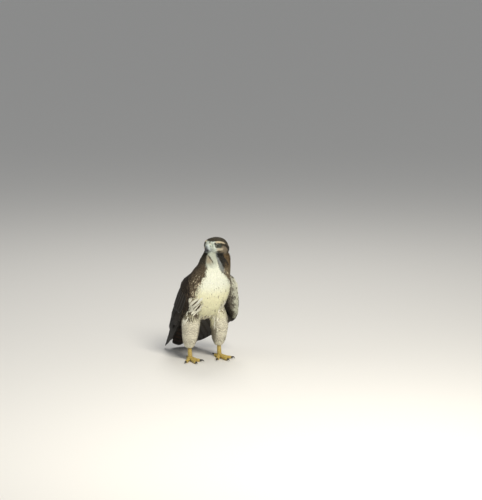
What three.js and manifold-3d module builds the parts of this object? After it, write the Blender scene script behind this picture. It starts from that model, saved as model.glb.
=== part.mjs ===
// A life-size red tailed hawk, standing upright on the ground with its wings drooped and its head
// turned to its right. Millimetres, +Z up, the bird faces -Y and its left is +X.
import * as THREE from "three";
import { mergeVertices } from "three/addons/utils/BufferGeometryUtils.js";
import Module from "manifold-3d";

const wasm = await Module();
wasm.setup();

// Driving dimensions
const gap = 0.35; // between two pieces that touch
const coatColour = 0x4a3a2c;
const paleColour = 0xe9e2c8;
const hornColour = 0x2c2c30;
const yellowColour = 0xd0b45a;

// The trunk's spine from rump to head, each station with its sideways half width and its depth
// on the belly's and the back's side.
const trunk = {
  forward: [-90, -66, -34, -2, 22, 38, 50, 60, 65],
  height: [118, 143, 171, 204, 241, 275, 305, 338, 372],
  lateral: [0, 0, 0, 0, 0, 5, 11, 12, 9],
  half: [13, 32, 56, 70, 75, 68, 56, 48, 31],
  belly: [10, 22, 47, 60, 58, 49, 39, 33, 19],
  back: [9, 19, 33, 43, 47, 45, 42, 40, 29],
};
const neckStart = 5.6; // station where the neck begins
const neckEnd = 8;

const head = {
  pivot: [6, 66, 386], // lateral, forward, height
  turn: THREE.MathUtils.degToRad(-57),
  nod: THREE.MathUtils.degToRad(4),
  forward: [-45, -43, -36, -25, -10, 4, 14, 20.5, 25.5, 29],
  half: [4, 16, 28, 36, 38.5, 36.5, 30.5, 23.5, 16.5, 11.5],
  top: [1, 7, 15, 20.5, 22.5, 22.5, 21, 18.5, 15.5, 13],
  bottom: [-14, -24, -34, -40, -40, -34, -26, -19.5, -14.5, -12],
};
const eye = { lateral: 16.4, forward: 12.8, height: 2.5, radius: 10.4, outward: 34 };
const lid = { radius: 8.1, tube: 1.4, out: 7.4 };
const brow = { lateral: 21.5, forward: 13, height: 10.4, length: 14, width: 6, depth: 3.6, turn: 33, nod: 9 };

// The bill in side view: culmen above, cutting edge below, then half widths.
const cere = {
  forward: [27, 31, 35, 38],
  top: [13.2, 12.2, 10.8, 9.6],
  bottom: [-6.6, -6.4, -6.2, -6],
  half: [11.4, 10, 8.8, 8],
};
const nostril = { forward: 34, height: 4.4, lateral: 9.2, radius: 1.5, depth: 1.8 };
const hook = {
  topForward: [38, 43, 48, 52.2, 55, 56, 55.2],
  topHeight: [9.5, 8.6, 6.3, 2.4, -3, -8.8, -13.6],
  edgeForward: [38, 41.5, 45, 48.2, 51, 53.2, 54.6],
  edgeHeight: [-6, -6.6, -7.2, -8, -9.6, -12, -14],
  half: [7.8, 7.2, 6.3, 5.1, 3.6, 2, 0.5],
};
const mandible = {
  forward: [22, 27, 32, 37, 42, 46.4, 49],
  top: [-2, -2, -2, -3, -4, -6, -8],
  bottom: [-12.8, -13.4, -13.6, -13.4, -12.8, -11.6, -10],
  half: [10.4, 9.4, 8.3, 7.2, 5.8, 4, 1.6],
};

// Each folded wing's outer surface runs through three lines from wrist to tip: the leading edge,
// the middle and the back edge, each point as lateral, forward and height. The right wing lies
// against the body and the left one hangs away from it.
const wings = {
  right: {
    side: -1,
    leading: [
      [73, 45, 264],
      [77, 44, 229],
      [83, 31, 188],
      [87, 6, 146],
      [84, -52, 92],
      [68, -140, 36],
      [51, -216, 5],
    ],
    middle: [
      [66, 14, 285],
      [84, -2, 250],
      [89, -26, 205],
      [91, -50, 165],
      [80, -88, 126],
      [60, -156, 64],
      [46, -213, 11],
    ],
    trailing: [
      [42, 3, 294],
      [36, -28, 262],
      [29, -48, 231],
      [21, -70, 200],
      [14, -98, 157],
      [12, -152, 86],
      [30, -208, 19],
    ],
  },
  left: {
    side: 1,
    leading: [
      [93, 40, 269],
      [104, 38, 228],
      [112, 28, 183],
      [117, 6, 130],
      [103, -46, 90],
      [72, -140, 38],
      [51, -216, 5],
    ],
    middle: [
      [74, 14, 287],
      [90, -4, 250],
      [97, -28, 207],
      [99, -52, 168],
      [88, -90, 127],
      [62, -156, 65],
      [46, -213, 11],
    ],
    trailing: [
      [42, 3, 294],
      [36, -28, 262],
      [29, -48, 231],
      [21, -70, 200],
      [14, -98, 157],
      [12, -152, 86],
      [30, -208, 19],
    ],
  },
};
const arm = { end: 0.42, depth: [18, 34, 38, 37, 30, 16, 5.5] }; // share of the wing's length

// The wing's feathers, tier by tier, first to last. Start and end are shares of the wing's length,
// from and to are places across it at root and tip, lift is measured from the outer surface.
const tiers = {
  primaries: {
    count: 8,
    start: [0.2, 0.34],
    end: [0.84, 0.865, 0.895, 0.93, 0.97, 1, 0.97, 0.9],
    from: [0.4, 0.08],
    to: [0.9, 0.06],
    lift: [-11, -8, -5, -3],
    roll: 13,
  },
  secondaries: {
    count: 8,
    start: [0.18, 0.24],
    end: [0.6, 0.75],
    from: [0.26, 0.93],
    to: [0.2, 0.95],
    lift: [-9, -5, -3, -1],
    roll: 10,
  },
  primaryCoverts: {
    count: 3,
    start: [0.24, 0.22],
    end: [0.52, 0.46],
    from: [0.21, 0.07],
    to: [0.2, 0.07],
    lift: [-9, -4, -2.5, -3],
    roll: 12,
  },
  greaterCoverts: {
    count: 6,
    start: [0.16, 0.2],
    end: [0.43, 0.46],
    from: [0.33, 0.92],
    to: [0.33, 0.94],
    lift: [-8, -4, -2.5, -1],
    roll: 8,
  },
  medianCoverts: {
    count: 6,
    start: [0.04, 0.06],
    end: [0.27, 0.31],
    from: [0.13, 0.9],
    to: [0.13, 0.9],
    lift: [-6, -1, 0, 0],
    roll: 8,
  },
  scapulars: {
    count: 3,
    start: [0.03, 0.03],
    end: [0.38, 0.52],
    from: [0.82, 1.02],
    to: [0.86, 1.02],
    lift: [-6, 1.5, 2.5, 2.5],
    roll: 6,
  },
};
const overlap = 1.45; // a vane's width against its spacing
const narrowest = 8;
const vaneThickness = 0.8;
const vaneShape = [
  [0, 0.7],
  [0.42, 1],
  [0.82, 0.88],
  [1, 0.3],
]; // share of the length, share of the width
const wander = 1.5; // seeded unevenness of the tips, mm

const tail = {
  root: [0, -74, 138],
  tip: [0, -206, 6.5],
  rootHalf: 15,
  rootDepth: 11,
  tipHalf: 29,
  coreEnd: 0.42, // share of the tail's length that has a solid core
  step: 1.5, // each feather lies this much below its inner neighbour
  pairs: 5,
  width: 13,
  coverts: { pairs: 2, end: 0.46, width: 17, rise: 3 },
};

const leg = {
  lateral: [38, 45, 50, 51, 51.5, 52, 52, 52],
  forward: [-6, 0, 4, 4, 1, -1, -2, -3],
  height: [178, 150, 122, 100, 80, 64, 52, 45],
  half: [24, 27, 26, 24.5, 22.5, 19.5, 15, 10.5],
  depth: [36, 35, 31, 28, 25, 21, 16, 11],
};
const shank = { lateral: 52, top: 62, bottom: 13, radius: 6.4, back: -4, front: 2 };
const scutes = 7;
const foot = { lateral: 52, forward: 2, height: 8.5, radius: 11 };
const toes = {
  inner: { angle: -34, length: 38, radius: 5.6, claw: 24 },
  middle: { angle: 4, length: 55, radius: 5.4, claw: 19 },
  outer: { angle: 42, length: 43, radius: 5, claw: 18 },
  hind: { angle: 188, length: 27, radius: 5.8, claw: 27 },
};
const clawBase = 3.6;

// Small helpers
let seed = 7;
function random() {
  seed = (seed * 16807) % 2147483647;
  return seed / 2147483647;
}
const at = (lateral, forward, height) => new THREE.Vector3(lateral, -forward, height);
const mix = THREE.MathUtils.lerp;

// A smooth curve through evenly spaced values.
function through(values, s) {
  const last = values.length - 1;
  const i = Math.min(Math.floor(Math.max(s, 0)), last - 1);
  const t = s - i;
  const a = values[i];
  const b = values[i + 1];
  const before = values[i - 1] ?? 2 * a - b;
  const after = values[i + 2] ?? 2 * b - a;
  const slopeA = (b - before) / 2;
  const slopeB = (after - a) / 2;
  return (
    a * (2 * t ** 3 - 3 * t ** 2 + 1) +
    slopeA * (t ** 3 - 2 * t ** 2 + t) +
    b * (3 * t ** 2 - 2 * t ** 3) +
    slopeB * (t ** 3 - t ** 2)
  );
}

function solidOf(geometry) {
  const bare = geometry.clone();
  bare.deleteAttribute("normal");
  bare.deleteAttribute("uv");
  const merged = mergeVertices(bare, 1e-3);
  const triVerts = new Uint32Array(merged.index.array);
  const made = new wasm.Manifold(
    new wasm.Mesh({
      numProp: 3,
      vertProperties: new Float32Array(merged.attributes.position.array),
      triVerts,
    }),
  );
  if (made.volume() > 0) return made;
  for (let i = 0; i < triVerts.length; i += 3)
    [triVerts[i + 1], triVerts[i + 2]] = [triVerts[i + 2], triVerts[i + 1]];
  return new wasm.Manifold(
    new wasm.Mesh({
      numProp: 3,
      vertProperties: new Float32Array(merged.attributes.position.array),
      triVerts,
    }),
  );
}

function geometryOf(solid) {
  const mesh = solid.getMesh();
  const position = new THREE.BufferAttribute(new Float32Array(mesh.vertProperties), 3);
  return new THREE.BufferGeometry()
    .setAttribute("position", position)
    .setIndex(new THREE.BufferAttribute(new Uint32Array(mesh.triVerts), 1));
}

// The largest closed body of a solid.
function largest(solid) {
  const bodies = solid.decompose();
  const best = bodies.reduce((one, body) => (body.volume() > one.volume() ? body : one));
  return best.simplify(0.05);
}

const join = (solids) => solids.reduce((sum, one) => sum.add(one));

// A closed skin through rings of equal length. A thin plate's two faces are split alike.
function loft(rings, plate = false) {
  const around = rings[0].length;
  const points = rings.flat();
  const faces = [];
  for (let i = 0; i + 1 < rings.length; i++)
    for (let j = 0; j < around; j++) {
      const a = i * around + j;
      const b = i * around + ((j + 1) % around);
      const c = b + around;
      const d = a + around;
      if (plate && j >= around / 2) faces.push(a, b, d, b, c, d);
      else faces.push(a, b, c, a, c, d);
    }
  const capped = plate ? [] : [rings[0], rings.at(-1)].map(centreOf);
  const lastRing = (rings.length - 1) * around;
  for (let j = 0; j < around; j++) {
    const k = (j + 1) % around;
    if (!plate) {
      faces.push(points.length, k, j);
      faces.push(points.length + 1, lastRing + j, lastRing + k);
    }
  }
  if (plate) {
    faces.push(0, 2, 1, 0, 3, 2);
    faces.push(lastRing, lastRing + 1, lastRing + 2, lastRing, lastRing + 2, lastRing + 3);
  }
  return new THREE.BufferGeometry().setFromPoints([...points, ...capped]).setIndex(faces);
}

function centreOf(ring) {
  return ring.reduce((sum, p) => sum.add(p), new THREE.Vector3()).divideScalar(ring.length);
}

// A ring of points round a centre. Side and up are unit vectors, and power above 2 squares it.
function ring(centre, side, up, half, above, below, around, power = 2) {
  const points = [];
  for (let j = 0; j < around; j++) {
    const angle = (2 * Math.PI * (j + 0.5)) / around;
    const x = Math.sign(Math.cos(angle)) * Math.abs(Math.cos(angle)) ** (2 / power);
    const y = Math.sign(Math.sin(angle)) * Math.abs(Math.sin(angle)) ** (2 / power);
    points.push(
      centre
        .clone()
        .addScaledVector(side, half * x)
        .addScaledVector(up, y * (y > 0 ? above : below)),
    );
  }
  return points;
}

// Trunk: one form, parted at the neck by a thin plane cut
const spineAt = (s) =>
  at(through(trunk.lateral, s), through(trunk.forward, s), through(trunk.height, s));

function trunkRing(s, grow, shift) {
  const along = spineAt(s + 0.05).sub(spineAt(s - 0.05)).normalize();
  const side = new THREE.Vector3(1, 0, 0).addScaledVector(along, -along.x).normalize();
  const back = new THREE.Vector3().crossVectors(side, along).negate();
  const centre = spineAt(s).addScaledVector(along, shift);
  return ring(
    centre,
    side,
    back,
    through(trunk.half, s) + grow,
    through(trunk.back, s) + grow,
    through(trunk.belly, s) + grow,
    28,
    2.15,
  );
}

function trunkForm(from, to, steps, grow = 0, shift = 0) {
  const rings = [];
  for (let i = 0; i <= steps; i++) rings.push(trunkRing(mix(from, to, i / steps), grow, shift));
  return solidOf(loft(rings));
}

// Head, in its own frame: x to its left, -y forward
const headPlace = new THREE.Matrix4().compose(
  at(...head.pivot),
  new THREE.Quaternion().setFromEuler(new THREE.Euler(head.nod, 0, head.turn, "ZXY")),
  new THREE.Vector3(1, 1, 1),
);
const sideways = new THREE.Vector3(1, 0, 0);
const upward = new THREE.Vector3(0, 0, 1);

// A form lofted along the head's forward axis from lists of stations.
function alongHead(form, around, power, grow = 0) {
  const last = form.forward.length - 1;
  const steps = Math.ceil(last * 1.5);
  const rings = [];
  for (let i = 0; i <= steps; i++) {
    const s = (i / steps) * last;
    const top = through(form.top, s) + grow;
    const bottom = through(form.bottom, s) - grow;
    const end = i === 0 ? -grow : i === steps ? grow : 0;
    const centre = at(0, through(form.forward, s) + end, (top + bottom) / 2);
    const tall = (top - bottom) / 2;
    rings.push(ring(centre, sideways, upward, through(form.half, s) + grow, tall, tall, around, power));
  }
  return solidOf(loft(rings));
}

function hookForm(grow = 0) {
  const rings = hook.half.map((half, k) => {
    const top = at(0, hook.topForward[k], hook.topHeight[k]);
    const edge = at(0, hook.edgeForward[k], hook.edgeHeight[k]);
    const tall = top.clone().sub(edge);
    const rise = tall.length() + grow;
    return ring(edge, sideways, tall.normalize(), half + grow, rise, 0.6 + grow, 12, 2);
  });
  return solidOf(loft(rings));
}

function eyeFrame(side) {
  const outward = THREE.MathUtils.degToRad(eye.outward);
  return {
    centre: at(side * eye.lateral, eye.forward, eye.height),
    out: at(side * Math.cos(outward), Math.sin(outward), 0.06).normalize(),
  };
}

function placed(geometry, centre, from, to) {
  const turn = new THREE.Quaternion().setFromUnitVectors(from, to);
  return geometry.applyQuaternion(turn).translate(centre.x, centre.y, centre.z);
}

function ball(radius, centre, around = 12) {
  return solidOf(
    new THREE.SphereGeometry(radius, around, Math.round(around * 0.6)).translate(
      centre.x,
      centre.y,
      centre.z,
    ),
  );
}

function lidForm(side) {
  const { centre, out } = eyeFrame(side);
  const torus = new THREE.TorusGeometry(lid.radius, lid.tube, 5, 14);
  const place = centre.clone().addScaledVector(out, lid.out);
  return solidOf(placed(torus, place, upward, out));
}

function socketForm(side) {
  const { centre, out } = eyeFrame(side);
  const tube = new THREE.CylinderGeometry(lid.radius, lid.radius * 0.8, 16, 14);
  const place = centre.clone().addScaledVector(out, 11);
  return solidOf(placed(tube, place, new THREE.Vector3(0, 1, 0), out));
}

function browForm(side) {
  const shape = new THREE.SphereGeometry(1, 10, 6).scale(brow.width, brow.length, brow.depth);
  shape.rotateX(THREE.MathUtils.degToRad(brow.nod));
  shape.rotateZ(THREE.MathUtils.degToRad(-side * brow.turn));
  const centre = at(side * brow.lateral, brow.forward, brow.height);
  return solidOf(shape.translate(centre.x, centre.y, centre.z));
}

function headForm() {
  const skull = alongHead(head, 22, 2.2);
  const parts = [skull, browForm(1), browForm(-1)];
  let made = join(parts);
  for (const side of [1, -1]) {
    made = made.subtract(socketForm(side)).add(lidForm(side));
    made = made.subtract(ball(eye.radius + gap, eyeFrame(side).centre));
  }
  made = made.subtract(alongHead(cere, 16, 2.1, gap)).subtract(alongHead(mandible, 12, 2.1, gap));
  return largest(made);
}

function cereForm() {
  let made = alongHead(cere, 16, 2.1);
  for (const side of [1, -1]) {
    const centre = at(side * nostril.lateral, nostril.forward, nostril.height);
    const pit = new THREE.SphereGeometry(nostril.radius, 10, 6).scale(nostril.depth, 1.5, 1);
    pit.translate(centre.x, centre.y, centre.z);
    made = made.subtract(solidOf(pit));
  }
  return largest(made);
}

// Wing
const wingLines = {};
for (const [name, points] of Object.entries(wings))
  wingLines[name] = ["leading", "middle", "trailing"].map(
    (line) => new THREE.CatmullRomCurve3(points[line].map((p) => at(points.side * p[0], p[1], p[2]))),
  );

// A point of a folded wing's outer surface, t from wrist to tip, v from leading to back edge.
function wingSurface(name, t, v) {
  const [a, b, c] = wingLines[name].map((line) => line.getPointAt(THREE.MathUtils.clamp(t, 0, 1)));
  return a
    .multiplyScalar((1 - v) * (1 - 2 * v))
    .addScaledVector(b, 4 * v * (1 - v))
    .addScaledVector(c, v * (2 * v - 1));
}

function wingPoint(name, t, v, lift) {
  const low = Math.min(Math.max(t, 0), 0.98);
  const along = wingSurface(name, low + 0.02, v).sub(wingSurface(name, low, v));
  const across = wingSurface(name, low, v + 0.02).sub(wingSurface(name, low, v - 0.02));
  const out = along.cross(across).normalize().multiplyScalar(wings[name].side);
  return wingSurface(name, t, v).addScaledVector(out, lift);
}

// The arm in the folded wing: the outer surface above, and a deep inner side towards the body.
function wingArm(name) {
  const inward = at(-wings[name].side, 0, 0);
  const rings = [];
  const steps = 8;
  for (let i = 0; i <= steps; i++) {
    const t = (i / steps) * arm.end;
    const depth = through(arm.depth, (i / steps) * (arm.depth.length - 1));
    const shut = i === 0 || i === steps ? 1 : 0;
    const drawn = (v) => mix(v, 0.5, shut * 0.2);
    const outer = [0, 0.12, 0.3, 0.5, 0.7, 0.88, 1];
    const inner = [
      [0.94, 0.7],
      [0.7, 1],
      [0.4, 1],
      [0.18, 0.95],
      [0.05, 0.8],
    ];
    rings.push([
      ...outer.map((v) => wingPoint(name, t, drawn(v), mix(-1, -5, Math.min(1, i / 3)) - shut * 3)),
      ...inner.map(([v, deep]) =>
        wingPoint(name, t, drawn(v), -3).add(inward.clone().multiplyScalar(depth * deep)),
      ),
    ]);
  }
  return solidOf(loft(rings));
}

// A stiff vane through flat sections, each a centre, a direction across, one outward and a width.
function vane(sections) {
  const rings = sections.map(({ centre, across, out, width }) =>
    [
      [-1, 1],
      [1, 1],
      [1, -1],
      [-1, -1],
    ].map(([x, y]) =>
      centre
        .clone()
        .addScaledVector(across, (x * width) / 2)
        .addScaledVector(out, (y * vaneThickness) / 2),
    ),
  );
  return solidOf(loft(rings, true));
}

// A value for one feather of a tier: spread from first to last, or listed for each.
function spread(values, i, count) {
  return values.length === count ? values[i] : mix(values[0], values.at(-1), i / (count - 1));
}

// One feather of a tier, with its leading side raised over its outer neighbour.
function wingVane(name, tier, i) {
  const start = spread(tier.start, i, tier.count);
  const end = spread(tier.end, i, tier.count) + (random() - 0.5) * wander * 0.0025;
  const roll = THREE.MathUtils.degToRad(tier.roll);
  const place = (share) => [
    mix(start, end, share),
    mix(spread(tier.from, i, tier.count), spread(tier.to, i, tier.count), Math.max(share, 0) ** 0.8),
    through(tier.lift, share * (tier.lift.length - 1)),
  ];
  const sections = vaneShape.map(([share, wide]) => {
    const [t, v, lift] = place(share);
    const centre = wingPoint(name, t, v, lift);
    const along = wingPoint(name, ...place(share + 0.02)).sub(wingPoint(name, ...place(share - 0.02)));
    along.normalize();
    const flat = wingPoint(name, t, v + 0.03, lift).sub(wingPoint(name, t, v - 0.03, lift));
    flat.addScaledVector(along, -along.dot(flat)).normalize();
    const out = new THREE.Vector3().crossVectors(along, flat).multiplyScalar(wings[name].side);
    const across = flat.clone().multiplyScalar(Math.cos(roll)).addScaledVector(out, -Math.sin(roll));
    const rolled = out.multiplyScalar(Math.cos(roll)).addScaledVector(flat, Math.sin(roll));
    const step = (mix(tier.from[1], tier.to[1], share) - mix(tier.from[0], tier.to[0], share)) / (tier.count - 1);
    const room = wingSurface(name, t, v + step / 2).distanceTo(wingSurface(name, t, v - step / 2));
    return { centre, across, out: rolled, width: wide * Math.max(narrowest, overlap * room) };
  });
  return vane(sections);
}

function wingForm(name) {
  const { side } = wings[name];
  const parts = [wingArm(name)];
  for (const tier of Object.values(tiers))
    for (let i = 0; i < tier.count; i++) parts.push(wingVane(name, tier, i));
  const middle = solidOf(new THREE.BoxGeometry(200, 800, 800).translate(side * -98, 0, 0));
  const made = wasm.Manifold.union(parts)
    .subtract(trunkForm(0, trunkSteps.end, trunkSteps.count, gap))
    .subtract(trunkForm(neckStart - 0.3, neckEnd, 6, gap))
    .subtract(legForm(side, gap))
    .subtract(tailCore(1, 2.5))
    .subtract(middle);
  return largest(made);
}

// Tail
const tailRoot = at(...tail.root);
const tailAlong = at(...tail.tip).sub(tailRoot);
const tailWay = tailAlong.clone().normalize();
const tailUp = new THREE.Vector3().crossVectors(sideways, tailWay).negate();

// A slab through the tail, tapered towards its end.
function tailCore(end, grow = 0) {
  const rings = [];
  const steps = 6;
  for (let i = 0; i <= steps; i++) {
    const s = (i / steps) * end;
    const half = mix(tail.rootHalf, tail.tipHalf, s) * mix(1, 0.8, s / end) + grow * 3;
    const deep = mix(tail.rootDepth, 1.2, Math.min(1, s / tail.coreEnd)) + grow;
    const centre = tailRoot.clone().addScaledVector(tailAlong, s).addScaledVector(tailUp, -2);
    rings.push(ring(centre, sideways, tailUp, half, deep, deep, 14, 2.4));
  }
  return solidOf(loft(rings));
}

// A tail feather or covert, k pairs out from the middle.
function tailVane(side, k, pairs, end, width, rise) {
  const out = side * (k + 0.5);
  const sections = vaneShape.map(([share, wide]) => {
    const s = mix(0.04, end - 0.0015 * k * k, share);
    const reach = mix(tail.rootHalf * 0.7, tail.tipHalf - width * 0.35, s);
    const centre = tailRoot
      .clone()
      .addScaledVector(tailAlong, s)
      .addScaledVector(sideways, (out / (pairs - 0.5)) * reach)
      .addScaledVector(tailUp, rise * Math.min(1, share * 3) - k * tail.step - (side > 0 ? 0.5 : 0));
    return { centre, across: sideways, out: tailUp, width: width * wide };
  });
  return vane(sections);
}

function tailForm() {
  const parts = [tailCore(tail.coreEnd)];
  const { coverts } = tail;
  for (const side of [1, -1]) {
    for (let k = 0; k < tail.pairs; k++) parts.push(tailVane(side, k, tail.pairs, 1, tail.width, 1.5));
    for (let k = 0; k < coverts.pairs; k++) {
      parts.push(tailVane(side, k, coverts.pairs, coverts.end, coverts.width, 1.5 + coverts.rise));
      parts.push(tailVane(side, k, coverts.pairs, coverts.end, coverts.width, -4 - coverts.rise));
    }
  }
  return largest(wasm.Manifold.union(parts).subtract(trunkForm(0, trunkSteps.end, trunkSteps.count, gap)));
}

// Legs
function legForm(side, grow = 0) {
  const last = leg.height.length - 1;
  const rings = [];
  for (let i = 0; i <= last * 2; i++) {
    const s = i / 2;
    const centre = at(side * through(leg.lateral, s), through(leg.forward, s), through(leg.height, s));
    const half = through(leg.half, s) + grow;
    const deep = through(leg.depth, s) + grow;
    rings.push(ring(centre, sideways, new THREE.Vector3(0, 1, 0), half, deep, deep, 18, 2));
  }
  return solidOf(loft(rings));
}

function shankForm(side, grow = 0) {
  const rings = [];
  const steps = scutes * 2;
  for (let i = 0; i <= steps; i++) {
    const s = i / steps;
    const proud = i % 2 === 1 ? 0.7 : 0;
    const centre = at(side * shank.lateral, mix(shank.back, shank.front, s), mix(shank.top, shank.bottom, s));
    const wide = shank.radius + grow + 1.2 * s * s;
    rings.push(ring(centre, sideways, new THREE.Vector3(0, 1, 0), wide, wide, wide + proud, 10, 2));
  }
  return solidOf(loft(rings));
}

// A toe's place: its direction on the ground and where its claw begins.
function toeLine(side, toe) {
  const angle = THREE.MathUtils.degToRad(toe.angle) * side;
  const start = at(side * foot.lateral, foot.forward, 0);
  return { start, way: at(Math.sin(angle), Math.cos(angle), 0) };
}

function toeForm(side, toe) {
  const { start, way } = toeLine(side, toe);
  const across = new THREE.Vector3(-way.y, way.x, 0);
  const shape = [0.04, 0.2, 0.36, 0.5, 0.64, 0.8, 0.92, 1];
  const bulge = [1.15, 1.15, 1, 1.08, 0.92, 1.04, 0.92, 0.68];
  const rise = [8, 8.4, 7.4, 6.2, 5.4, 4.9, 5, 5.4];
  const rings = shape.map((s, k) => {
    const centre = start.clone().addScaledVector(way, s * toe.length);
    centre.z = rise[k];
    const radius = toe.radius * bulge[k];
    return ring(centre, across, upward, radius, radius, radius, 8, 2.1);
  });
  return solidOf(loft(rings));
}

function footForm(side) {
  const pad = new THREE.SphereGeometry(1, 12, 7).scale(foot.radius, foot.radius * 1.1, 7.5);
  const centre = at(side * foot.lateral, foot.forward, 6.6);
  pad.translate(centre.x, centre.y, centre.z);
  const parts = Object.values(toes).map((toe) => toeForm(side, toe));
  const floor = new THREE.BoxGeometry(400, 400, 40).translate(0, 0, -20);
  const made = join([solidOf(pad), ...parts]).subtract(solidOf(floor));
  return largest(made.subtract(shankForm(side, gap)));
}

// A claw curves down from the end of its toe and clears the floor.
function clawForm(side, toe) {
  const { start, way } = toeLine(side, toe);
  const across = new THREE.Vector3(-way.y, way.x, 0);
  const rings = [];
  const steps = 6;
  for (let i = 0; i <= steps; i++) {
    const s = i / steps;
    const bend = mix(0.5, -1.15, s);
    const run = Math.sin(s * 1.7) * toe.claw * 0.62;
    const rise = 5.6 + Math.sin(s * Math.PI * 0.62) * 3.6 - s ** 2 * 7.6;
    const centre = start.clone().addScaledVector(way, toe.length + gap + run);
    centre.z = rise;
    const facing = way.clone().multiplyScalar(-Math.sin(bend)).addScaledVector(upward, Math.cos(bend));
    const radius = mix(clawBase, 0.35, s ** 0.85);
    const lean = i === 0 ? upward : facing;
    rings.push(ring(centre, across, lean, radius * 0.85, radius, radius, 6, 2));
  }
  return solidOf(loft(rings));
}

// The bird
const trunkSteps = { end: neckStart, count: 12 };
const hawk = new THREE.Group();

function finish(colour, roughness = 0.8) {
  return new THREE.MeshStandardMaterial({ color: colour, roughness, metalness: 0 });
}

function addPiece(group, name, solid, material) {
  const mesh = new THREE.Mesh(geometryOf(solid), material);
  mesh.name = name;
  group.add(mesh);
}

const coat = finish(coatColour, 0.85);
const pale = finish(paleColour, 0.9);
const horn = finish(hornColour, 0.35);
const skinYellow = finish(yellowColour, 0.6);
const wet = finish(0x1c1812, 0.08);

const headGroup = new THREE.Group();
headGroup.applyMatrix4(headPlace);
hawk.add(headGroup);
addPiece(headGroup, "head", headForm(), coat);
addPiece(headGroup, "cere", cereForm(), skinYellow);
addPiece(headGroup, "bill_upper", hookForm().subtract(alongHead(cere, 16, 2.1, gap)), horn);
const lower = alongHead(mandible, 12, 2.1).subtract(hookForm(gap)).subtract(alongHead(cere, 16, 2.1, gap));
addPiece(headGroup, "bill_lower", largest(lower), horn);
for (const [side, name] of [
  [-1, "right"],
  [1, "left"],
])
  addPiece(headGroup, "eye_" + name, ball(eye.radius, eyeFrame(side).centre), wet);

const headGrown = solidOf(geometryOf(alongHead(head, 22, 2.2, gap)).applyMatrix4(headPlace));
addPiece(hawk, "torso", trunkForm(0, trunkSteps.end, trunkSteps.count), pale);
addPiece(hawk, "neck", largest(trunkForm(neckStart, neckEnd, 6, 0, gap).subtract(headGrown)), coat);
addPiece(hawk, "tail", tailForm(), coat);

const torsoGrown = trunkForm(0, trunkSteps.end, trunkSteps.count, gap);
for (const [side, name] of [
  [-1, "right"],
  [1, "left"],
]) {
  addPiece(hawk, "wing_" + name, wingForm(name), coat);
  const thigh = legForm(side).subtract(torsoGrown).subtract(shankForm(side, gap));
  addPiece(hawk, "leg_" + name, largest(thigh), pale);
  addPiece(hawk, "shank_" + name, shankForm(side), skinYellow);
  addPiece(hawk, "foot_" + name, footForm(side), skinYellow);
  for (const [toeName, toe] of Object.entries(toes))
    addPiece(hawk, "claw_" + name + "_" + toeName, clawForm(side, toe), horn);
}

// The origin is the middle of the whole bird's box, on the floor.
const whole = new THREE.Box3().setFromObject(hawk, true);
hawk.position.set(-(whole.min.x + whole.max.x) / 2, -(whole.min.y + whole.max.y) / 2, 0);

export default hawk;
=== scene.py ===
# A life-size red tailed hawk on a plain floor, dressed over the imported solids.
# Work is done in millimetres in the bird's own frame (lateral, -forward, height) and moved to the
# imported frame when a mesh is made.
import math

import bpy
import numpy as np
from mathutils import Matrix, Vector
from mathutils.bvhtree import BVHTree
from mathutils.kdtree import KDTree


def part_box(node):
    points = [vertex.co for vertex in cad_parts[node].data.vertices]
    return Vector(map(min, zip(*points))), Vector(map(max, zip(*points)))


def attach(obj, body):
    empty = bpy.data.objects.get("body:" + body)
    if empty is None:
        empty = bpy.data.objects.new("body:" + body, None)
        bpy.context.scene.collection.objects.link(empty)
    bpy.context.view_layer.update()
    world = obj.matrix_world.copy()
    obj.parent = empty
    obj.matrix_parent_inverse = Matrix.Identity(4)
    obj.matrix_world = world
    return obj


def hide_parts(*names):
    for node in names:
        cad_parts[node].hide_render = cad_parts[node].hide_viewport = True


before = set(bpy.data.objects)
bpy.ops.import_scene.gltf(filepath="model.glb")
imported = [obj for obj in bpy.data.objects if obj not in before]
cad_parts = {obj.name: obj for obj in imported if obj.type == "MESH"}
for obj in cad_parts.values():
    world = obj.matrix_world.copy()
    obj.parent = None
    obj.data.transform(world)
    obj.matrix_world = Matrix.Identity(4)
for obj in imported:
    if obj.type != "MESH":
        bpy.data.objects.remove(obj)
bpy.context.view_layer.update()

chance = np.random.default_rng(11)
mm = 0.001


# Small helpers
def unit(v):
    return v / np.maximum(np.linalg.norm(v, axis=-1, keepdims=True), 1e-9)


def dot(a, b):
    return np.sum(a * b, axis=-1, keepdims=True)


def ease(low, high, x):
    t = np.clip((np.asarray(x, float) - low) / (high - low), 0, 1)
    return t * t * (3 - 2 * t)


def band(x, rise, full, fade, end):  # up between rise and full, down between fade and end
    return ease(rise, full, x) * ease(end, fade, x)


def mixed(first, second, share):
    return np.asarray(first) + (np.asarray(second) - first) * share


def wayTo(azimuth, elevation):  # degrees round from the bird's front and up
    a, e = math.radians(azimuth), math.radians(elevation)
    return np.array([math.sin(a) * math.cos(e), -math.cos(a) * math.cos(e), math.sin(e)])


def at(lateral, forward, height):
    return np.stack(np.broadcast_arrays(lateral, np.negative(forward), height), axis=-1).astype(float)


def through(values, s):  # a smooth curve through evenly spaced values
    v = np.asarray(values, float)
    s = np.asarray(s, float)
    i = np.clip(np.floor(s).astype(int), 0, len(v) - 2)
    t = s - i
    a, b = v[i], v[i + 1]
    before = np.where(i > 0, v[np.maximum(i - 1, 0)], 2 * a - b)
    after = np.where(i + 2 < len(v), v[np.minimum(i + 2, len(v) - 1)], 2 * b - a)
    slopeA, slopeB = (b - before) / 2, (after - a) / 2
    return (
        a * (2 * t**3 - 3 * t**2 + 1)
        + slopeA * (t**3 - 2 * t**2 + t)
        + b * (3 * t**2 - 2 * t**3)
        + slopeB * (t**3 - t**2)
    )


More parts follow.
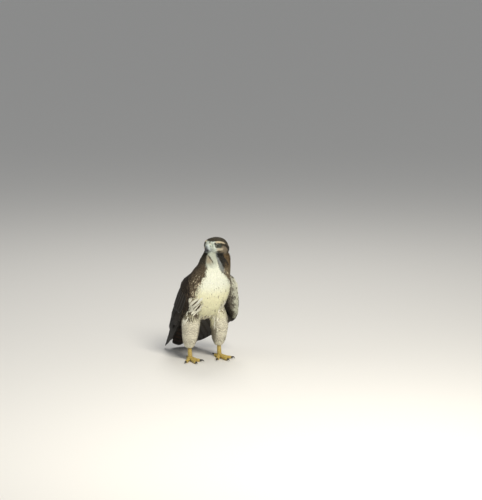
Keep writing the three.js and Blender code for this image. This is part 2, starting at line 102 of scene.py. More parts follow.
headPlace = {"pivot": at(6, 66, 386), "turn": -57, "nod": 4}
turn, nod = math.radians(headPlace["turn"]), math.radians(headPlace["nod"])
headTurn = np.array(Matrix.Rotation(turn, 3, "Z") @ Matrix.Rotation(nod, 3, "X"))


def fromHead(p):
    return np.asarray(p, float) @ headTurn.T + headPlace["pivot"]


def toHead(p):
    return (p - headPlace["pivot"]) @ headTurn


eyeball = {"lateral": 16.4, "forward": 12.8, "height": 2.5, "radius": 10.4, "outward": 34, "rise": 0.06}
boxes = [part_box(name) for name in ("eye_right", "eye_left")]
middles = [np.array((low + high) / 2) for low, high in boxes]
eyes = [fromHead(at(side * eyeball["lateral"], eyeball["forward"], eyeball["height"])) for side in (-1, 1)]
shift = np.mean([m - e * mm for m, e in zip(middles, eyes)], axis=0)


def toScene(p):
    return np.asarray(p, float) * mm + shift


def toBird(p):
    return (np.asarray(p, float) - shift) / mm


def meshObject(name, points, faces, uvs=None, colours=None, sharp=None):
    # points in bird millimetres; faces as lists or as one array of triangles and one of quads
    if isinstance(faces, list):
        groups = [np.array([f for f in faces if len(f) == n], int).reshape(-1, n) for n in (3, 4)]
    else:
        groups = list(faces)
    groups = [g for g in groups if len(g)]
    loops = np.concatenate([g.ravel() for g in groups])
    totals = np.concatenate([np.full(len(g), g.shape[1]) for g in groups])
    mesh = bpy.data.meshes.new(name)
    mesh.vertices.add(len(points))
    mesh.vertices.foreach_set("co", toScene(points).astype(np.float32).ravel())
    mesh.loops.add(len(loops))
    mesh.loops.foreach_set("vertex_index", loops.astype(np.int32))
    mesh.polygons.add(len(totals))
    mesh.polygons.foreach_set("loop_start", np.concatenate([[0], np.cumsum(totals)[:-1]]).astype(np.int32))
    mesh.update(calc_edges=True)
    for key, uv in (uvs or {}).items():
        layer = mesh.uv_layers.new(name=key)
        layer.data.foreach_set("uv", uv[loops].astype(np.float32).ravel())
    for key, colour in (colours or {}).items():
        full = colour if colour.shape[1] == 4 else np.column_stack([colour, np.ones(len(colour))])
        attribute = mesh.color_attributes.new(key, "FLOAT_COLOR", "POINT")
        attribute.data.foreach_set("color", full.astype(np.float32).ravel())
    if sharp:
        mesh.set_sharp_from_angle(angle=math.radians(sharp))
    made = bpy.data.objects.new(name, mesh)
    bpy.context.scene.collection.objects.link(made)
    return made


def place(obj, finish, slot, *nodes):
    obj.data.materials.append(finish)
    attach(obj, "root")
    if nodes:
        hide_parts(*nodes)


def tinted(name, points, faces, tint, finish, slot, *nodes):
    place(meshObject(name, points, faces, colours={"tint": tint}), finish, slot, *nodes)


def nearest(tree, points):
    found = [tree.find_nearest(p) for p in points.tolist()]
    return np.array([tuple(f[0]) for f in found]), np.array([f[2] for f in found])


def vertexNormals(points, tris):
    a, b, c = (points[tris[:, k]] for k in range(3))
    face = np.cross(b - a, c - a)
    total = np.zeros_like(points)
    for k in range(3):
        np.add.at(total, tris[:, k], face)
    return unit(total)


def spreadOver(values, edges, rounds, hold=0):
    # evens values out along a mesh's edges, less where they are held
    degree = np.bincount(edges.ravel(), minlength=len(values)).astype(float)[:, None]
    for _ in range(rounds):
        total = np.zeros_like(values)
        np.add.at(total, edges[:, 0], values[edges[:, 1]])
        np.add.at(total, edges[:, 1], values[edges[:, 0]])
        values = values + (total / np.maximum(degree, 1) - values) * 0.5 * (1 - hold)
    return values


def readMesh(mesh):  # points in packed metres, triangles and edges
    mesh.calc_loop_triangles()
    points = np.zeros(len(mesh.vertices) * 3, np.float32)
    mesh.vertices.foreach_get("co", points)
    tris = np.zeros(len(mesh.loop_triangles) * 3, np.int32)
    mesh.loop_triangles.foreach_get("vertices", tris)
    edges = np.zeros(len(mesh.edges) * 2, np.int32)
    mesh.edges.foreach_get("vertices", edges)
    return points.reshape(-1, 3), tris.reshape(-1, 3), edges.reshape(-1, 2)


def remeshed(name, points, faces, voxel):  # one closed form round all that is given
    rough = meshObject(name, points, faces)
    remesh = rough.modifiers.new("remesh", "REMESH")
    remesh.mode, remesh.voxel_size = "VOXEL", voxel * mm
    bpy.context.view_layer.update()
    points, tris, edges = readMesh(rough.evaluated_get(bpy.context.evaluated_depsgraph_get()).data)
    bpy.data.objects.remove(rough)
    return toBird(points), tris, edges


# Finishes
class Wire:
    # a socket; sums and products of it add their Math nodes
    def __init__(self, finish, socket):
        self.finish, self.socket = finish, socket

    def combined(self, operation, *values):
        return self.finish.add("ShaderNodeMath", {"operation": operation}, list(values))

    def __add__(self, other):
        return self.combined("ADD", self, other)

    def __radd__(self, other):
        return self.combined("ADD", other, self)

    def __sub__(self, other):
        return self.combined("SUBTRACT", self, other)

    def __rsub__(self, other):
        return self.combined("SUBTRACT", other, self)

    def __mul__(self, other):
        return self.combined("MULTIPLY", self, other)

    def __rmul__(self, other):
        return self.combined("MULTIPLY", other, self)

    def __abs__(self):
        return self.combined("ABSOLUTE", self)


class Finish:
    def __init__(self, name, surface):
        self.material = bpy.data.materials.new(name)
        self.material.use_nodes = True
        self.tree = self.material.node_tree
        self.shader = self.tree.nodes["Principled BSDF"]
        for key, value in surface.items():
            self.shader.inputs[key].default_value = value

    def add(self, kind, settings=None, values=None, output=0):
        node = self.tree.nodes.new(kind)
        for key, value in (settings or {}).items():
            setattr(node, key, value)
        pairs = values.items() if isinstance(values, dict) else enumerate(values or [])
        for key, value in pairs:
            if isinstance(value, Wire):
                self.tree.links.new(value.socket, node.inputs[key])
            elif value is not None:
                node.inputs[key].default_value = value
        if output is None:
            return [Wire(self, socket) for socket in node.outputs]
        return Wire(self, node.outputs[output])

    def blend(self, factor, low, high):
        colours = [(*c, 1) if isinstance(c, tuple) else c for c in (low, high)]
        return self.add("ShaderNodeMix", {"data_type": "RGBA"}, {0: factor, 6: colours[0], 7: colours[1]}, 2)

    def dim(self, colour, share):
        return self.add("ShaderNodeVectorMath", {"operation": "SCALE"}, {0: colour, 3: share})

    def step(self, value, low, high):
        return self.add("ShaderNodeMapRange", {"interpolation_type": "SMOOTHSTEP"}, [value, low, high, 0, 1])

    def noise(self, scale, detail=3, where=None):
        spot = where or self.add("ShaderNodeTexCoord", output="Object")
        return self.add("ShaderNodeTexNoise", {}, {"Vector": spot, "Scale": scale, "Detail": detail})

    def bump(self, height, strength, distance):
        return self.add("ShaderNodeBump", {}, {"Height": height, "Strength": strength, "Distance": distance})

    def feed(self, **sockets):
        for key, wire in sockets.items():
            self.tree.links.new(wire.socket, self.shader.inputs[key.replace("_", " ")])
        return self.material


def attributeOf(f, name, output="Color"):
    return f.add("ShaderNodeAttribute", {"attribute_name": name}, output=output)


plumage = {"barbs": 40, "barbDepth": 0.15}
plumageKinds = {  # roughness, gloss, sheen, colour of the pale worn edge (on the flight feathers a bluish grey painted sky reflection), how ragged that edge is
    "bodyplumage": (0.8, 0.14, 0.03, (0.20, 0.155, 0.105), 0.4),
    "flightfeathers": (0.58, 0.15, 0.02, (0.115, 0.12, 0.12), 0.14),
}


def plumageFinish(name):
    roughness, gloss, sheen, wornEdgeAndReflection, ragged = plumageKinds[name]
    f = Finish(name, {"Roughness": roughness, "Specular IOR Level": gloss, "Sheen Weight": sheen})
    tint, stain = attributeOf(f, "tint"), attributeOf(f, "stain")
    streak, bar, edge = f.add("ShaderNodeSeparateColor", {}, [attributeOf(f, "mark")], None)
    bars = attributeOf(f, "mark", "Alpha")
    x, y, _ = f.add("ShaderNodeSeparateXYZ", {}, [f.add("ShaderNodeUVMap", {"uv_map": "vane"})], None)
    across = abs(x * 2 - 1)
    grain = f.noise(420, 4)
    loose = (grain - 0.5) * 0.5
    wide = (1 - y) * y * 1.1 + 0.08
    shaftLine = (1 - f.step(across + loose - wide, -0.12, 0.14)) * f.step(y, 0.1, 0.4)
    wave = f.add("ShaderNodeMath", {"operation": "SINE"}, [(y * bars + loose * 0.018) * 125.7])
    banded = f.step(wave, 0.1, 0.65)
    rim = f.step(across + (grain - 0.5) * ragged, 0.8, 0.98)
    tip = f.step(y + loose * 0.08, 0.92, 0.985)
    border = f.add("ShaderNodeMath", {"operation": "MAXIMUM"}, [rim, tip])
    colour = f.blend(f.step(grain, 0.3, 0.75), f.dim(tint, 0.84), tint)
    colour = f.blend(bar * banded, colour, stain)
    colour = f.blend(streak * shaftLine, colour, stain)
    # pale worn edges; on the flight feathers their bluish grey is a painted reflection of the sky
    colour = f.blend(edge * border, colour, wornEdgeAndReflection)
    barbs = f.add("ShaderNodeMath", {"operation": "SINE"}, [(y * plumage["barbs"] - across * 7) * 6.283])
    height = barbs * 0.5 + grain * 0.8
    return f.feed(Base_Color=colour, Normal=f.bump(height, plumage["barbDepth"], 0.0004))


def skinFinish(name):
    f = Finish(name, {"Roughness": 0.85})
    tint, grain = attributeOf(f, "tint"), f.noise(260, 5)
    return f.feed(Base_Color=f.blend(grain, f.dim(tint, 0.7), tint), Normal=f.bump(grain, 0.3, 0.0006))


# Floor, light and camera
stage = {
    "floor": (0.74, 0.725, 0.69),
    "floorReach": 6e4,
    "air": (0.80, 0.82, 0.85),
    "airStrength": 0.42,
    "picture": (482, 500),
    "azimuth": -25,
    "elevation": 10,
    "distance": 8000,
    "perPixel": 3.25,
    "originPixel": (204.5, 359),
    "clip": (0.1, 300),
    "focus": 200,
    "lamps": [  # azimuth, elevation, distance, size in metres, watts, colour
        (-4, 42, 2.6, 0.8, 62, (1.0, 0.96, 0.87)),
        (-100, 30, 3.0, 1.6, 5, (0.93, 0.97, 1.0)),
        (150, 55, 2.8, 1.2, 24, (1.0, 0.97, 0.92)),
    ],
}


def setStage():
    bpy.context.scene.view_settings.view_transform = "Standard"
    world = bpy.data.worlds.new("studioAir")
    bpy.context.scene.world = world
    world.use_nodes = True
    world.node_tree.nodes["Background"].inputs[0].default_value = (*stage["air"], 1)
    world.node_tree.nodes["Background"].inputs[1].default_value = stage["airStrength"]
    f = Finish("paleFloor", {"Roughness": 0.9, "Base Color": (*stage["floor"], 1)})
    corners = np.array([[-1, -1], [1, -1], [1, 1], [-1, 1]]) * stage["floorReach"]
    floor = meshObject("studioFloor", at(corners[:, 0], corners[:, 1], 0), [[0, 3, 2, 1]])
    floor.data.materials.append(f.material)
    focus = toScene(at(0, 0, stage["focus"]))
    for azimuth, elevation, distance, size, power, colour in stage["lamps"]:
        way = wayTo(azimuth, elevation)
        light = bpy.data.lights.new("softLamp", "AREA")
        light.size, light.energy, light.color = size, power, colour
        lamp = bpy.data.objects.new("softLamp", light)
        lamp.location = focus + way * distance
        lamp.rotation_euler = Vector(way).to_track_quat("Z", "Y").to_euler()
        bpy.context.scene.collection.objects.link(lamp)


def setCamera():
    back, right = wayTo(stage["azimuth"], stage["elevation"]), wayTo(stage["azimuth"] + 90, 0)
    up = np.cross(back, right)
    wide, tall = stage["picture"]
    x, y = stage["originPixel"]
    middle = (right * (wide / 2 - x) + up * (y - tall / 2)) * stage["perPixel"]
    data = bpy.data.cameras.new("photoCamera")
    data.lens = data.sensor_width * stage["distance"] / (tall * stage["perPixel"])
    data.clip_start, data.clip_end = stage["clip"]
    camera = bpy.data.objects.new("photoCamera", data)
    camera.location = toScene(middle + back * stage["distance"])
    camera.rotation_euler = Vector(back).to_track_quat("Z", "Y").to_euler()
    bpy.context.scene.collection.objects.link(camera)
    bpy.context.scene.camera = camera


setStage()
setCamera()
print("stage set")


# Where a point lies on the bird
trunk = {
    "forward": [-90, -66, -34, -2, 22, 38, 50, 60, 65],
    "height": [118, 143, 171, 204, 241, 275, 305, 338, 372],
    "lateral": [0, 0, 0, 0, 0, 5, 11, 12, 9],
    "half": [13, 32, 56, 70, 75, 68, 56, 48, 31],
    "belly": [10, 22, 47, 60, 58, 49, 39, 33, 19],
    "back": [9, 19, 33, 43, 47, 45, 42, 40, 29],
}
stations = np.linspace(0, 8, 321)
spine = at(*(through(trunk[key], stations) for key in ("lateral", "forward", "height")))
spineWay = unit(np.gradient(spine, axis=0))
spineSide = unit(np.array([1, 0, 0]) - spineWay * spineWay[:, :1])
spineBack = -np.cross(spineSide, spineWay)


def trunkPlace(p):  # station from rump to head, and the angle from the belly's middle, left positive
    rest = p[:, None, 1:] - spine[None, :, 1:]
    along = np.abs(np.sum(rest * spineWay[None, :, 1:], axis=2))
    k = np.argmin(along + 0.15 * np.linalg.norm(rest, axis=2), axis=1)
    s = stations[k]
    q = p - spine[k]
    side = dot(q, spineSide[k])[:, 0] / through(trunk["half"], s)
    rise = dot(q, spineBack[k])[:, 0]
    rise = -rise / np.where(rise < 0, through(trunk["belly"], s), through(trunk["back"], s))
    return s, np.degrees(np.arctan2(side, rise)), -spineWay[k]


def byParts(work, p):  # keeps the memory small
    return [np.concatenate(part) for part in zip(*(work(p[i : i + 20000]) for i in range(0, len(p), 20000)))]


# Markings, the same for skin and feathers: tint, stain, and the strength of streaks, bars and pale edges
tints = {
    "back": (0.046, 0.034, 0.023),
    "crown": (0.044, 0.038, 0.026),
    "nape": (0.112, 0.074, 0.037),
    "bib": (0.86, 0.83, 0.56),
    "belly": (0.78, 0.74, 0.52),
    "trouser": (0.84, 0.8, 0.64),
    # vent: painted shade, a grey brown on the belly's underside between the legs
    "shadowedVent": (0.24, 0.21, 0.155),
    "lore": (0.64, 0.69, 0.61),
    "brow": (0.52, 0.44, 0.3),
    "underEye": (0.56, 0.49, 0.36),
    "ear": (0.19, 0.155, 0.11),
    "eyeLine": (0.035, 0.029, 0.021),
    "malar": (0.018, 0.018, 0.016),
    "besideThroat": (0.22, 0.235, 0.225),
    # throat: white feathers painted a darker greenish grey as painted shadow under the bill
    "throatInBillShadow": (0.54, 0.57, 0.47),
    "buff": (0.36, 0.29, 0.19),
    "throatLine": (0.075, 0.062, 0.045),
    "eyeRing": (0.046, 0.056, 0.044),
    "thighShade": (0.13, 0.12, 0.105),
    "dark": (0.038, 0.026, 0.018),
    "darkBars": (0.16, 0.12, 0.08),
    "shoulder": (0.095, 0.072, 0.046),
    "flankShade": (0.070, 0.052, 0.036),
    "neckSide": (0.15, 0.118, 0.072),
    "upperBib": (0.86, 0.88, 0.73),
}
bib = {
    "station": [0, 1, 2, 3, 4, 4.5, 5, 5.5, 6, 6.5, 7.1, 7.8, 8.2],
    "right": [-190, -150, -86, -57, -48, -47, -47, -46, -45, -44, -50, -50, -50],
    "left": [190, 150, 112, 98, 88, 84, 76, 60, 36, 12, -4, -14, -16],
}


def bibEdges(s):
    return [np.interp(s, bib["station"], bib[key]) for key in ("right", "left")]


def markings(p):
    side, forward, high = p[:, 0], -p[:, 1], p[:, 2]
    out = np.abs(side)
    q = toHead(p)
    l, f, h = np.abs(q[:, 0]), -q[:, 1], q[:, 2]
    s, angle, _ = trunkPlace(p)
    rough = (np.sin(p[:, 0] * 0.31 + p[:, 2] * 0.17) + np.sin(p[:, 1] * 0.27 - p[:, 2] * 0.23)) * 0.5
    tint = np.tile(tints["back"], (len(p), 1))

    def lay(name, mask):
        nonlocal tint
        tint = mixed(tint, tints[name], np.clip(mask, 0, 1)[:, None])

    # trunk: white bib and belly between the two edges, streaked along them
    right, left = bibEdges(s)
    inside = np.minimum(angle - right, left - angle) + rough * 5
    white = ease(-4, 6, inside) * ease(-10, -18, h)
    lay("shoulder", ease(60, 25, -inside) * band(s, 3.2, 4.2, 7.6, 8.2) * 0.8)
    lay("bib", white)
    lay("upperBib", white * ease(4.2, 5.6, s))
    lay("belly", white * ease(2.9, 1.8, s))
    flank = ease(36, 52, np.abs(angle - 6)) * band(s, 0.8, 1.6, 5.4, 6.2)
    # thighs
    legs = ease(176, 150, high) * ease(22, 34, out) * ease(-70, -50, forward)
    lay("trouser", legs)
    lay("thighShade", legs * ease(37, 29, out) * 0.85)
    shaded = band(high + rough * 6, 152, 166, 212, 230) * ease(28, 42, out) * ease(-40, -20, forward)
    lay("flankShade", shaded * np.where(side < 0, 0.92, 0.35) * (0.85 + 0.15 * rough))
    # painted shade: the white vent between the legs is darkened to grey brown where the bird's shadow falls
    lay("shadowedVent", ease(140, 118, high) * ease(34, 24, out))
    streak = white * flank * 0.95 * (1 - legs * 0.85)
    bar = np.maximum(white * ease(2.0, 1.2, s) * 0.5, legs * 0.6)
    # crown, nape, ear, and the throat painted with the bill's shadow
    lay("crown", ease(-56, -44, h) * ease(300, 330, high) * (1 - white))
    lay("nape", ease(-16, -30, f) * ease(22, -6, h + rough * 4) * ease(-130, -70, h) * ease(250, 290, high))
    onHead = ease(-52, -40, f) * ease(296, 316, high)
    lay("ear", onHead * band(h, -34, -22, -3, 8) * band(f, -24, -14, 8, 18))
    # painted shadow: the white throat under the bill is darkened to greenish grey
    throatInBillShadow = band(q[:, 0], -11, -5, 17, 23) * ease(-12, -17, h) * ease(6, 12, f)
    throatInBillShadow = throatInBillShadow * ease(318, 338, high + rough * 4)
    lay("throatInBillShadow", throatInBillShadow)
    # the sides of the neck, by how far they lie beyond the bib's left edge
    beside = angle - left + rough * 2
    lay("neckSide", band(beside, 6, 12, 50, 70) * band(high, 278, 292, 322, 338) * ease(-16, -24, h))
    lay("besideThroat", band(beside, -5, 2, 11, 18) * ease(6.2, 6.8, s) * ease(-14, -20, h))
    lay("nape", band(beside, 20, 30, 80, 100) * ease(318, 334, high) * ease(-18, -28, h))
    lay("malar", band(beside, 8, 13, 22, 31) * ease(320, 338, high + rough * 5) * ease(-16, -24, h))
    # the throat's buff side and the dark line that ends it
    fromLine = side - np.interp(high, [334, 360], [-6.5, -20]) + rough * 0.5
    front = np.maximum(white, throatInBillShadow) * ease(364, 356, high)
    lay("buff", front * ease(0.5, -1.5, fromLine) * ease(331, 345, high + rough * 4) * 0.8)
    lay("throatLine", front * ease(2.6, 1.2, np.abs(fromLine)) * ease(335, 341, high))
    # face
    border = 16 + np.clip(-4 - h, 0, 14) * 0.55
    ridge = np.maximum(0.35 + 0.65 * ease(1, 3.5, l), ease(12, 9, h))
    lay("lore", ease(border - 2, border + 2, f) * band(h, -19, -15, 13.5, 17) * ridge)
    malarMiddle = 10 - (-20 - h) * 0.62
    malar = ease(-14, -22, h) * ease(13, 7, np.abs(f - malarMiddle)) * ease(14, 19, l)
    lay("malar", malar * ease(324, 342, high + rough * 5))
    lay("underEye", band(h, -12, -8.5, -5, -2.5) * band(f, 6, 12, 19, 24) * ease(18, 22, l))
    browLine = 13.2 - 0.018 * (15 - f) ** 2 * (f < 15)
    brow = ease(3.6, 2.0, np.abs(h - browLine)) * band(f, -6, 1, 19, 24) * ease(13, 17, l)
    lay("brow", brow)
    lineMiddle = 8.8 - np.clip(16 - f, 0, 60) * 0.42
    lineHalf = 2.0 + np.clip(8 - f, 0, 30) * 0.17
    eyeLine = ease(lineHalf + 1.6, lineHalf, np.abs(h - lineMiddle)) * band(f, -38, -26, 23, 27)
    lay("eyeLine", eyeLine * ease(11, 14, l) * (1 - brow))
    far, away = eyeDistance(p)
    away = away @ headTurn
    upward = far * away[:, 2]
    level = np.sqrt(np.maximum(far**2 - upward**2, 0)) * (1 + 0.7 * (away[:, 1] < 0))
    lay("eyeRing", ease(11.5, 9.5, np.hypot(level, upward * np.where(upward > 0, 1.25, 1.5))))
    face = onHead * ease(-16, -4, h)
    edge = np.where(face > 0.5, 0.15, 0.55 * (1 - white) * (1 - legs)) * (1 - throatInBillShadow)
    return tint, mixed(tints["dark"], tints["darkBars"], legs[:, None]), streak, bar, edge


# Skin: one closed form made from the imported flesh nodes
skin = {
    "nodes": ["torso", "neck", "head", "leg_right", "leg_left"],
    "swell": 0.5,
    "voxel": 1.5,
    "depth": {"torso": 3.4, "neck": 2.6, "head": 1.5, "leg_right": 2.4, "leg_left": 2.4},
}


def eyeWay(side):  # the way an eye looks, in the head's own frame
    outward = math.radians(eyeball["outward"])
    return unit(at(side * math.cos(outward), math.sin(outward), eyeball["rise"]))


eyeSpots = toHead(np.array(eyes))
eyeWays = eyeWay(np.array([-1, 1]))


def eyeDistance(p):  # how far a point is from the nearer eye's axis, and the way outward from that axis
    q = toHead(p)
    k = (q[:, 0] > 0).astype(int)
    rest = q - eyeSpots[k]
    reach = dot(rest, eyeWays[k])
    off = rest - eyeWays[k] * reach
    far = np.linalg.norm(off, axis=1) + np.where(reach[:, 0] < 0, 60, 0)
    return far, unit(off) @ headTurn.T


def makeSurface():
    points, tris, owner = [], [], []
    count = 0
    for k, name in enumerate(skin["nodes"]):
        co, tri, _ = readMesh(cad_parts[name].data)
        co, back = np.unique(np.round(co, 6), axis=0, return_inverse=True)
        co, tri = toBird(co), back.ravel()[tri]
        points.append(co + vertexNormals(co, tri) * skin["swell"])
        tris.append(tri + count)
        owner += [k] * len(tri)
        count += len(co)
    points, tris, owner = np.concatenate(points), np.concatenate(tris), np.array(owner)
    solids = BVHTree.FromPolygons(points.tolist(), tris.tolist())
    outer, tri, edges = remeshed("roughSkin", points, (tris,), skin["voxel"])
    far, _ = eyeDistance(outer)
    outer = spreadOver(outer, edges, 8, np.where(far < 9, 0.85, 0.0)[:, None])
    far, _ = eyeDistance(outer)
    bowl = ease(7.5, 9.5, far) * ease(22, 15, far)
    outer = spreadOver(outer, edges, 24, 1 - bowl[:, None])
    _, face = nearest(solids, outer)
    share = spreadOver(np.eye(len(skin["nodes"]))[owner[face]], edges, 12)
    return outer, tri, edges, share


outer, skinTris, skinEdges, share = makeSurface()
outerNormals = spreadOver(vertexNormals(outer, skinTris), skinEdges, 3)
depth = share @ np.array([skin["depth"][name] for name in skin["nodes"]])
eyeFar, _ = eyeDistance(outer)
depth = np.where(eyeFar < 16, np.interp(eyeFar, [9, 16], [0.4, 1.5]), depth)
inner = spreadOver(outer - unit(outerNormals) * depth[:, None], skinEdges, 2)
skinTint = byParts(markings, inner)[0]
tinted("skin", inner, (skinTris,), skinTint, skinFinish("downyskin"), "pale_feathers", *skin["nodes"])
print("skin", len(skinTris))


# Coat: short vanes rooted in the skin, each following the lie of the feathers over the surface
coat = {
    "shares": [0, 0.35, 0.7, 0.93, 1],
    "widths": [0.45, 1.0, 0.95, 0.58],
    "length": 21,
    "width": 4.5,
    "spacing": 2.12,
    "thickness": 0.16,
    "yaw": 10,
    "patch": 0.003,
    "tries": 4.5,
    "varies": (0.85, 1.15),
    "ragged": (0.88, 1.12),
    "sag": 0.22,
    "rootSink": 0.9,
    "streaked": 0.5,
    "creamy": 0,
    "cream": (0.50, 0.43, 0.30),
    "creamStrength": 0.85,
}


def lieOfCoat(p, share):
    # head feathers run back from the bill and then down, the rest down and back along the spine
    q = toHead(p)
    f, h = -q[:, 1:2], q[:, 2:]
    _, _, down = byParts(trunkPlace, p)
    droop = np.maximum(ease(-2, -40, f), ease(2, -34, h) * 0.85)
    back = unit(np.hstack([q[:, :1] * 0.006, np.ones_like(f), -0.1 - 0.5 * ease(-4, -20, h)])) @ headTurn.T
    far, away = eyeDistance(p)
    back = unit(back + away * ease(15, 9, far)[:, None] * 1.3)
    headWay = unit(back * (1 - droop) + np.array([0, 0, -1.0]) * droop)
    fringe = ease(215, 170, p[:, 2:]) * ease(40, -20, p[:, 1:2] + 20)
    trunkWay = unit(down + np.array([0, 0, -1.0]) * fringe * 0.8)
    onHead, onTrunk = share[:, 2:3], share[:, 1:2] + share[:, :1]
    onLegs = share[:, 3:].sum(axis=1, keepdims=True)
    return unit(headWay * onHead + trunkWay * onTrunk + np.array([0, 0.1, -1.0]) * onLegs)


def featherSize(p):  # a share of the full size
    q = toHead(p)
    l, f, h = np.abs(q[:, 0]), -q[:, 1], q[:, 2]
    fromBill = np.sqrt((f - 30) ** 2 + (l * 0.8) ** 2 + (h - 2) ** 2)
    face = np.interp(fromBill, [8, 20, 36, 60, 90, 130], [0.17, 0.2, 0.3, 0.48, 0.68, 0.95])
    far, _ = eyeDistance(p)
    face = np.minimum(face, np.interp(far, [8, 12, 24], [0.15, 0.22, 0.4]) + ease(24, 60, far))
    leg = np.interp(p[:, 2], [44, 70, 110, 150, 190], [0.4, 0.55, 0.8, 1.0, 1.15])
    onLeg = ease(176, 150, p[:, 2]) * ease(20, 30, np.abs(p[:, 0]))
    body = np.interp(p[:, 2], [110, 160, 220, 280], [1.25, 1.25, 1.05, 1.0])
    return np.minimum(face, body * (1 - onLeg) + leg * onLeg)


def scatter(points, tris, spacing, keep):
    # even random roots: candidates by area, thinned so that none is nearer than its own spacing
    a, b, c = (points[tris[:, k]] for k in range(3))
    area = np.linalg.norm(np.cross(b - a, c - a), axis=1) / 2
    room = spacing[tris].mean(axis=1)
    weight = area / room**2 * keep[tris].mean(axis=1)
    total = int(weight.sum() * coat["tries"])
    face = chance.choice(len(tris), total, p=weight / weight.sum())
    u, v = chance.random(total), chance.random(total)
    flip = u + v > 1
    u[flip], v[flip] = 1 - u[flip], 1 - v[flip]
    spot = a[face] * (1 - u - v)[:, None] + b[face] * u[:, None] + c[face] * v[:, None]
    reach = room[face]
    tree = KDTree(total)
    for k, where in enumerate(spot.tolist()):
        tree.insert(where, k)
    tree.balance()
    free = np.ones(total, bool)
    chosen = []
    for k, where in enumerate(spot.tolist()):
        if free[k]:
            chosen.append(k)
            for _, other, _ in tree.find_range(where, float(reach[k])):
                free[other] = False
    return spot[chosen], face[chosen]


def layVanes(surface, spot, face, plan):
    # each vane steps over the surface along the lie, from its sunk root up to its free tip
    shares, widths = plan["shares"], plan["widths"]
    count, size = len(spot), plan["size"][:, None]
    length = plan["length"] * size * chance.uniform(*coat["varies"], (count, 1))
    width = plan["width"] * size * chance.uniform(*coat["varies"], (count, 1))
    yaw = np.radians(chance.normal(0, plan["yaw"], (count, 1)))
    deep, stand, cling = (plan[key][:, None] for key in ("depth", "stand", "cling"))
    track = free = spot
    thick = coat["thickness"] * np.sqrt(size)
    rings = []
    for k, share in enumerate(shares):
        normal, lie = surface["normal"][face], surface["way"][face]
        way = unit(lie * np.cos(yaw) + np.cross(normal, lie) * np.sin(yaw))
        if k:
            step = length * (share - shares[k - 1])
            free = free + unit(lastWay * (1 - cling) + way * cling) * step
            track, face = nearest(surface["tree"], track + way * step)
            normal = surface["normal"][face]
            free = free * (1 - cling) + track * cling
        else:
            lastWay = way
        height = -deep * coat["rootSink"] * (1 - share) ** 1.3 + stand * share**2 + 0.3 * share
        centre = free + normal * height
        across = unit(np.cross(way, normal))
        if k == len(shares) - 1:
            rings.append(centre[:, None])
            continue
        half = width * widths[k] / 2 * chance.uniform(*coat["ragged"], (count, 1))
        sag, top = normal * half * coat["sag"], normal * thick
        left, right = centre - across * half - sag, centre + across * half - sag
        rings.append(np.stack([left, centre + top, right, centre - top], axis=1))
    points = np.concatenate(rings, axis=1)
    per, last = points.shape[1], len(shares) - 2
    corners = [(j, (j + 1) % 4) for j in range(4)]
    quads = [[4 * k + a, 4 * k + b, 4 * k + 4 + b, 4 * k + 4 + a] for k in range(last) for a, b in corners]
    quads.append([3, 2, 1, 0])
    tris = [[4 * last + a, 4 * last + b, 4 * last + 4] for a, b in corners]
    offset = (np.arange(count) * per)[:, None, None]
    faces = tuple((np.array(part) + offset).reshape(-1, len(part[0])) for part in (tris, quads))
    local = np.array([[x, shares[k]] for k in range(last + 1) for x in (0, 0.5, 1, 0.5)] + [[0.5, 1]])
    return points.reshape(-1, 3), faces, np.tile(local, (count, 1)), per


def bakeMap(unwrap, roots, local, per):  # a small patch for each vane at its root's place
    place = 0.03 + 0.94 * np.repeat(unwrap(roots), per, axis=0)
    return place + (local - 0.5) * coat["patch"]


softCoat = plumageFinish("bodyplumage")


def coatPiece(name, surface, spot, face, plan, marks, unwrap, slot):
    plan = {**coat, **plan}
    points, faces, local, per = layVanes(surface, spot, face, plan)
    tint, stain, streak, bar, edge = marks
    dull = ease(0.3, 0.08, tint[:, :1])
    shade = np.exp(chance.normal(0, 1, (len(spot), 1)) * (0.05 + 0.3 * dull))
    creamy = chance.random(len(spot)) < plan["creamy"]
    tint = mixed(tint, coat["cream"], creamy[:, None] * coat["creamStrength"])
    streak = streak * (chance.random(len(spot)) < plan["streaked"])
    mark = np.column_stack([streak, bar, edge * chance.random(len(spot)) ** 1.4, plan["size"] * 0.2])
    colours = {"tint": np.clip(tint * shade, 0, 0.9), "stain": stain, "mark": mark}
    colours = {key: np.repeat(value, per, axis=0) for key, value in colours.items()}
    maps = {"OFBake": bakeMap(unwrap, spot, local, per), "vane": local}
    place(meshObject(name, points, faces, maps, colours, sharp=70), softCoat, slot)
    print(name, len(spot), "vanes", sum(len(f) * (f.shape[1] - 2) for f in faces), "triangles")


def surfaceOf(points, tris, normals, way):
    lie = way - normals * dot(way, normals)
    faceNormal = unit(normals[tris].sum(axis=1))
    faceWay = lie[tris].sum(axis=1)
    faceWay = unit(faceWay - faceNormal * dot(faceWay, faceNormal))
    tree = BVHTree.FromPolygons(points.tolist(), tris.tolist())
    return {"tree": tree, "normal": faceNormal, "way": faceWay}


def trunkUnwrap(p):
    s, angle, _ = byParts(trunkPlace, p)
    return np.column_stack([(angle + 180) / 360, s / 8])


def turnShare(sideways, upward):
    return np.arctan2(sideways, upward) / (2 * math.pi) + 0.5


def headUnwrap(p):
    q = toHead(p)
    return np.column_stack([turnShare(q[:, 0], q[:, 2] + 6), np.clip((50 - q[:, 1]) / 90, 0, 1)])


def legUnwrap(p):
    return np.column_stack([turnShare(np.abs(p[:, 0]) - 50, -p[:, 1]), np.clip((p[:, 2] - 40) / 150, 0, 1)])


